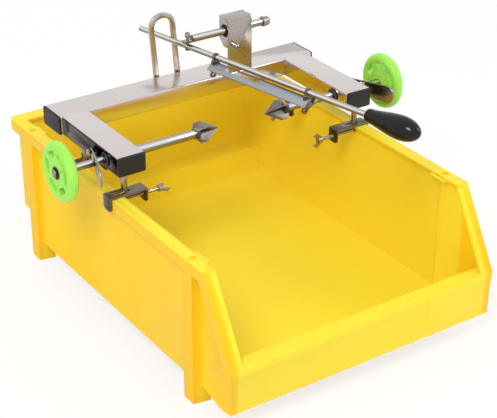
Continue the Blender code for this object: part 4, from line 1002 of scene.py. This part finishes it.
@dataclass
class Knife(SubAssembly):
    """The knife rod with its brackets, blade, bolt, pin and handle.

    The local frame has its origin on the pin, -Y towards the handle and Z up.
    """

    pin: Triple = (0.0053, 0.132, 0.29595)
    radius: float = 0.00375
    tail: float = 0.0915
    handle_start: float = 0.3045
    tenon: float = 0.045
    handle_length: float = 0.0775
    neck: float = 0.0090
    shares: tuple[Pair, ...] = ((0.0, 0.82), (0.03, 0.95), (0.12, 1.02), (0.28, 1.24),
                                (0.45, 1.50), (0.62, 1.64), (0.76, 1.56), (0.87, 1.28),
                                (0.95, 0.84), (0.99, 0.40))
    bolt: Pair = (0.0103, -0.0140)
    bolt_head: Pair = (-0.2125, -0.2151)
    bolt_end: float = -0.2052
    bolt_radius: float = 0.0018
    bolt_head_radius: float = 0.0034
    pin_radius: float = 0.0018
    pin_head_radius: float = 0.0036
    pin_nut: Pair = (-0.00525, -0.00405)
    pin_head: Pair = (0.01255, 0.01855)
    socket: float = 0.0017
    socket_depth: float = 0.003
    rod_edge: float = 0.0006
    edge: float = 0.0003

    @property
    def place(self) -> Matrix:
        """Return the matrix from the knife's frame to the object's frame."""
        return Matrix.Translation(self.pin) @ Matrix.Rotation(KNIFE_YAW, 4, "Z")

    @property
    def upright(self) -> Matrix:
        """Return the matrix of the pivot screw's axis."""
        return self.place @ aim((0.0, 0.0, 0.0), (0.0, 0.0, 1.0))

    def forward(self, right: float = 0.0, up: float = 0.0) -> Matrix:
        """Return the matrix of an axis that runs towards the handle."""
        return self.place @ aim((right, 0.0, up), (0.0, -1.0, 0.0))

    def handle_profile(self) -> list[Pair]:
        """Return a smooth profile through the handle's main radii."""
        knots = [(self.handle_start + share * self.handle_length, radius * self.neck)
                 for share, radius in self.shares]
        ends = [knots[0]] + knots + [(self.handle_start + self.handle_length, 0.0)] * 2
        smooth = []
        for index in range(1, len(ends) - 2):
            before, start, end, after = (Vector(ends[index + step]) for step in (-1, 0, 1, 2))
            for step in range(KNOT_STEPS):
                share = step / KNOT_STEPS
                point = ((start * 2) + (end - before) * share
                         + (before * 2 - start * 5 + end * 4 - after) * share ** 2
                         + (start * 3 - before - end * 3 + after) * share ** 3) / 2
                smooth.append((point.x, max(point.y, 0.0)))
        return smooth + [(self.handle_start + self.handle_length, 0.0)]

    def handle(self) -> None:
        """Add the handle with the rod's bore."""
        start = self.handle_start
        bottom = start + self.tenon + GAP
        bore = self.radius + GAP
        profile = [(bottom, 0.0), (bottom, bore), (start, bore)] + self.handle_profile()
        self.shop.add("handle_grip", lathe(profile, self.forward(), ROUND_STEPS, closed=True),
                      GRIP, "handle")

    def rod(self) -> None:
        """Add the rod."""
        rod = cylinder(-self.tail, self.handle_start + self.tenon, self.radius,
                       self.forward(), ROUND_STEPS)
        wide = self.radius + OVERRUN
        bore = cylinder(-wide, wide, self.pin_radius + GAP, self.upright)
        self.shop.add("knife_rod_bar", soften(carve(rod, bore), self.rod_edge), KNIFE_BAR,
                      "knife_rod")

    def fasteners(self) -> None:
        """Add the bracket's bolt and the pivot screw."""
        place = self.forward(*self.bolt)
        head_back, head_front = (-value for value in self.bolt_head)
        head = soften(slab(hexagon(self.bolt_head_radius), head_back, head_front, place),
                      self.edge)
        shank = cylinder(-self.bolt_end, head_back + GAP, self.bolt_radius, place)
        self.shop.add("bracket_hexagon_bolt", unite((head, shank)), SCREW_STEEL, "bracket_bolt")
        low, high = self.pin_head
        floor = high - self.socket_depth
        profile = [(self.pin_nut[0], 0.0), (self.pin_nut[0], self.pin_head_radius),
                   (self.pin_nut[1], self.pin_head_radius), (self.pin_nut[1], self.pin_radius),
                   (low, self.pin_radius), (low, self.pin_head_radius),
                   (high, self.pin_head_radius), (high, self.socket), (floor, self.socket),
                   (floor, 0.0)]
        screw = soften(lathe(profile, self.upright), self.edge)
        self.shop.add("pivot_socket_screw", screw, SCREW_STEEL, "pivot_screw")

    def build(self) -> None:
        """Add the knife's pieces."""
        self.rod()
        self.handle()
        self.fasteners()
        for node, finish in (("front_bracket", BRACKET_STEEL), ("rear_bracket", BRACKET_STEEL),
                             ("blade", BLADE_STEEL)):
            self.shop.add(node + "_pressing", copied(node), finish, node, self.edge)


@dataclass
class GuideLoop(SubAssembly):
    """The flat bar loop behind the rail."""

    edge: float = 0.0008

    def build(self) -> None:
        """Add the loop."""
        self.shop.add("guide_loop_bar", copied("guide_loop"), LOOP_STEEL, "guide_loop", self.edge)


@dataclass
class BinClamp(SubAssembly):
    """One C-clamp on the bin's rim, its post and its wing screw."""

    side: Side
    row: Row
    edge: float = 0.0005
    hub_out: float = 0.0190
    hub_length: float = 0.006
    hub_radius: float = 0.0042
    screw_radius: float = 0.0022
    pad_start: float = 0.0347
    pad_end: float = 0.0377
    pad_radius: float = 0.0031
    pitch: float = 0.0012         # a real thread's is 0.7 mm, drawn coarser so that it shows
    thread_depth: float = 0.0003
    wing_span: float = 0.0110
    wing_length: float = 0.0130
    wing_thickness: float = 0.0022
    wing_tip: float = 0.0040
    wing_bend: float = 0.55

    def screw(self) -> Shape:
        """Return the wing screw: wings, hub, threaded shank and pad."""
        name = f"{self.side.value}_{self.row.value}_wing_screw"
        low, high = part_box(name)
        middle = (low + high) / 2
        tip = high.x if self.side is Side.RIGHT else low.x
        start = tip - self.side.sign * self.pad_end
        place = aim((start, middle.y, middle.z), (float(self.side.sign), 0.0, 0.0))
        hub = -self.hub_out
        profile = [(hub - self.hub_length, 0.0), (hub - self.hub_length, self.hub_radius),
                   (hub, self.hub_radius), (hub, self.screw_radius)]
        turns = int((self.pad_start - hub) / self.pitch) - 1
        for index in range(turns):
            along = hub + self.pitch * (index + 0.5)
            profile += [(along, self.screw_radius),
                        (along + self.pitch / 2, self.screw_radius - self.thread_depth)]
        profile += [(self.pad_start, self.screw_radius), (self.pad_start, self.pad_radius),
                    (self.pad_end, self.pad_radius), (self.pad_end, 0.0)]
        shank = lathe(profile, place, SCREW_STEPS)
        bend = hub - self.wing_length * self.wing_bend
        far = hub - self.wing_length
        neck = self.hub_radius * self.wing_bend
        outline = [(hub - GAP, -self.hub_radius), (bend, -self.wing_span),
                   (far, self.wing_tip - self.wing_span), (bend, -neck), (bend, neck),
                   (far, self.wing_span - self.wing_tip), (bend, self.wing_span),
                   (hub - GAP, self.hub_radius)]
        upright = Matrix.Rotation(math.pi / 2, 4, "Z")
        wings = slab([(-along, across) for along, across in outline], -self.wing_thickness / 2,
                     self.wing_thickness / 2, place @ upright)
        return unite((shank, soften(wings, self.edge)))

    def build(self) -> None:
        """Add the clamp, the post and the screw."""
        name = f"{self.side.value}_{self.row.value}"
        self.shop.add(name + "_clamp_pressing", copied(name + "_clamp"), CLAMP_STEEL,
                      name + "_clamp", self.edge)
        low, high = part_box(name + "_post")
        middle = (low + high) / 2
        post = cylinder(0.0, high.z - low.z, (high.y - low.y) / 2,
                        aim((middle.x, middle.y, low.z), (0.0, 0.0, 1.0)))
        self.shop.add(name + "_round_post", soften(post, self.edge), SCREW_STEEL, name + "_post")
        self.shop.add(name + "_thumbscrew", self.screw(), SCREW_STEEL, name + "_wing_screw")


# Studio


@dataclass(frozen=True)
class Lamp:
    """A soft square lamp that looks at the object's middle."""

    name: str
    at: Triple
    size: float                   # its edge
    power: float                  # in watts
    mirrored: bool = True         # whether shiny surfaces show it
    target: Triple = (0.0, 0.0, 0.15)

    def build(self) -> None:
        """Add the lamp."""
        data = bpy.data.lights.new(self.name, "AREA")
        data.shape = "SQUARE"
        data.size = self.size
        data.energy = self.power
        lamp = bpy.data.objects.new(self.name, data)
        aimed = Vector(self.target) - Vector(self.at)
        lamp.matrix_world = (Matrix.Translation(self.at)
                             @ aimed.to_track_quat("-Z", "Y").to_matrix().to_4x4())
        lamp.visible_glossy = self.mirrored
        bpy.context.scene.collection.objects.link(lamp)


@dataclass
class Studio:
    """Pale floor, soft light and the camera at the photograph's angle."""

    azimuth: float = math.radians(-34.281)
    elevation: float = math.radians(28.741)
    roll: float = math.radians(0.302)
    lens: float = 101.4
    spot: Triple = (-0.8896, -1.3241, 0.9899)
    far_end: float = 100.0        # how far the camera sees
    floor_half: float = 8.0
    floor_parts: int = 4
    floor_colour: str = "#F7F7F7"
    floor_white: float = 0.75     # share of plain white in what the camera sees of the floor
    ambient: float = 0.62
    lamps: tuple[Lamp, ...] = (
        Lamp("key_light", (-1.5, -1.3, 2.2), 0.9, 38.0),
        Lamp("fill_light", (1.9, -1.2, 1.6), 1.0, 14.0),
        Lamp("back_light", (0.4, 2.2, 1.8), 1.6, 14.0, mirrored=False))

    def floor(self) -> None:
        """Add the floor, pale to the camera and still shaded below the object."""
        shape = bmesh.new()
        bmesh.ops.create_grid(shape, x_segments=self.floor_parts,
                              y_segments=self.floor_parts, size=self.floor_half)
        floor = stand("studio_floor", shape)
        made, tree = new_material("pale_studio_paper")
        paper = add_node(tree, "ShaderNodeBsdfDiffuse", {"Color": linear(self.floor_colour)})
        white = add_node(tree, "ShaderNodeEmission", {"Color": (1.0, 1.0, 1.0, 1.0),
                                                      "Strength": 1.0})
        seen = self.seen(tree)
        share = add_node(tree, "ShaderNodeMath", {0: seen, 1: self.floor_white},
                         operation="MULTIPLY")
        both = add_node(tree, "ShaderNodeMixShader", {
            0: share.outputs[0], 1: paper.outputs[0], 2: white.outputs[0]})
        add_node(tree, "ShaderNodeOutputMaterial", {"Surface": both.outputs[0]})
        floor.data.materials.append(made)

    def seen(self, tree: Tree) -> Socket:
        """Tell which rays see the studio as it looks.

        Args:
            tree: The material's or the world's tree.

        Returns:
            A socket that is one for camera, glossy and transmission rays.
        """
        path = add_node(tree, "ShaderNodeLightPath")
        first = add_node(tree, "ShaderNodeMath", {
            0: path.outputs["Is Camera Ray"], 1: path.outputs["Is Glossy Ray"]},
            operation="MAXIMUM")
        return add_node(tree, "ShaderNodeMath", {
            0: first.outputs[0], 1: path.outputs["Is Transmission Ray"]},
            operation="MAXIMUM").outputs[0]

    def world(self) -> None:
        """Make the world white where it is seen and a soft light elsewhere."""
        world = bpy.data.worlds.new("studio_world")
        world.use_nodes = True
        tree = world.node_tree
        tree.nodes.clear()
        level = add_node(tree, "ShaderNodeMapRange", {
            "Value": self.seen(tree), "To Min": self.ambient, "To Max": 1.0})
        sky = add_node(tree, "ShaderNodeBackground", {"Color": (1.0, 1.0, 1.0, 1.0),
                                                      "Strength": level.outputs[0]})
        add_node(tree, "ShaderNodeOutputWorld", {"Surface": sky.outputs[0]})
        bpy.context.scene.world = world

    def camera(self) -> None:
        """Add the camera at the photograph's angle."""
        level = math.cos(self.elevation)
        back = Vector((math.sin(self.azimuth) * level, -math.cos(self.azimuth) * level,
                       math.sin(self.elevation)))
        right = (-back).cross(Vector((0.0, 0.0, 1.0))).normalized()
        up = right.cross(-back)
        turn = Matrix((right, up, back)).transposed() @ Matrix.Rotation(self.roll, 3, "Z")
        data = bpy.data.cameras.new("photo_camera")
        data.lens = self.lens
        data.clip_end = self.far_end
        camera = bpy.data.objects.new("photo_camera", data)
        camera.matrix_world = Matrix.Translation(self.spot) @ turn.to_4x4()
        bpy.context.scene.collection.objects.link(camera)
        bpy.context.scene.camera = camera

    def build(self) -> None:
        """Set up floor, light and camera."""
        bpy.context.scene.view_settings.view_transform = "Standard"
        self.floor()
        self.world()
        for lamp in self.lamps:
            lamp.build()
        self.camera()


def main() -> None:
    """Build the studio and every sub-assembly."""
    logging.basicConfig(level=logging.INFO, format="%(message)s")
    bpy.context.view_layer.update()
    Studio().build()
    shop = Workshop()
    CatchBin(shop).build()
    TubeFrame(shop).build()
    Spindle(shop, Side.LEFT, wheel_middle=0.0598, stub=0.0003, reach=0.0880,
            wall=LEFT_WALL).build()
    Spindle(shop, Side.RIGHT, wheel_middle=0.0460, stub=0.0060, reach=0.0750,
            wall=RIGHT_WALL).build()
    for side in Side:
        LockLever(shop, side).build()
    KnifeTower(shop).build()
    SupportRod(shop).build()
    Knife(shop).build()
    GuideLoop(shop).build()
    for side in Side:
        for row in Row:
            BinClamp(shop, side, row).build()


if __name__ == "__main__":
    main()
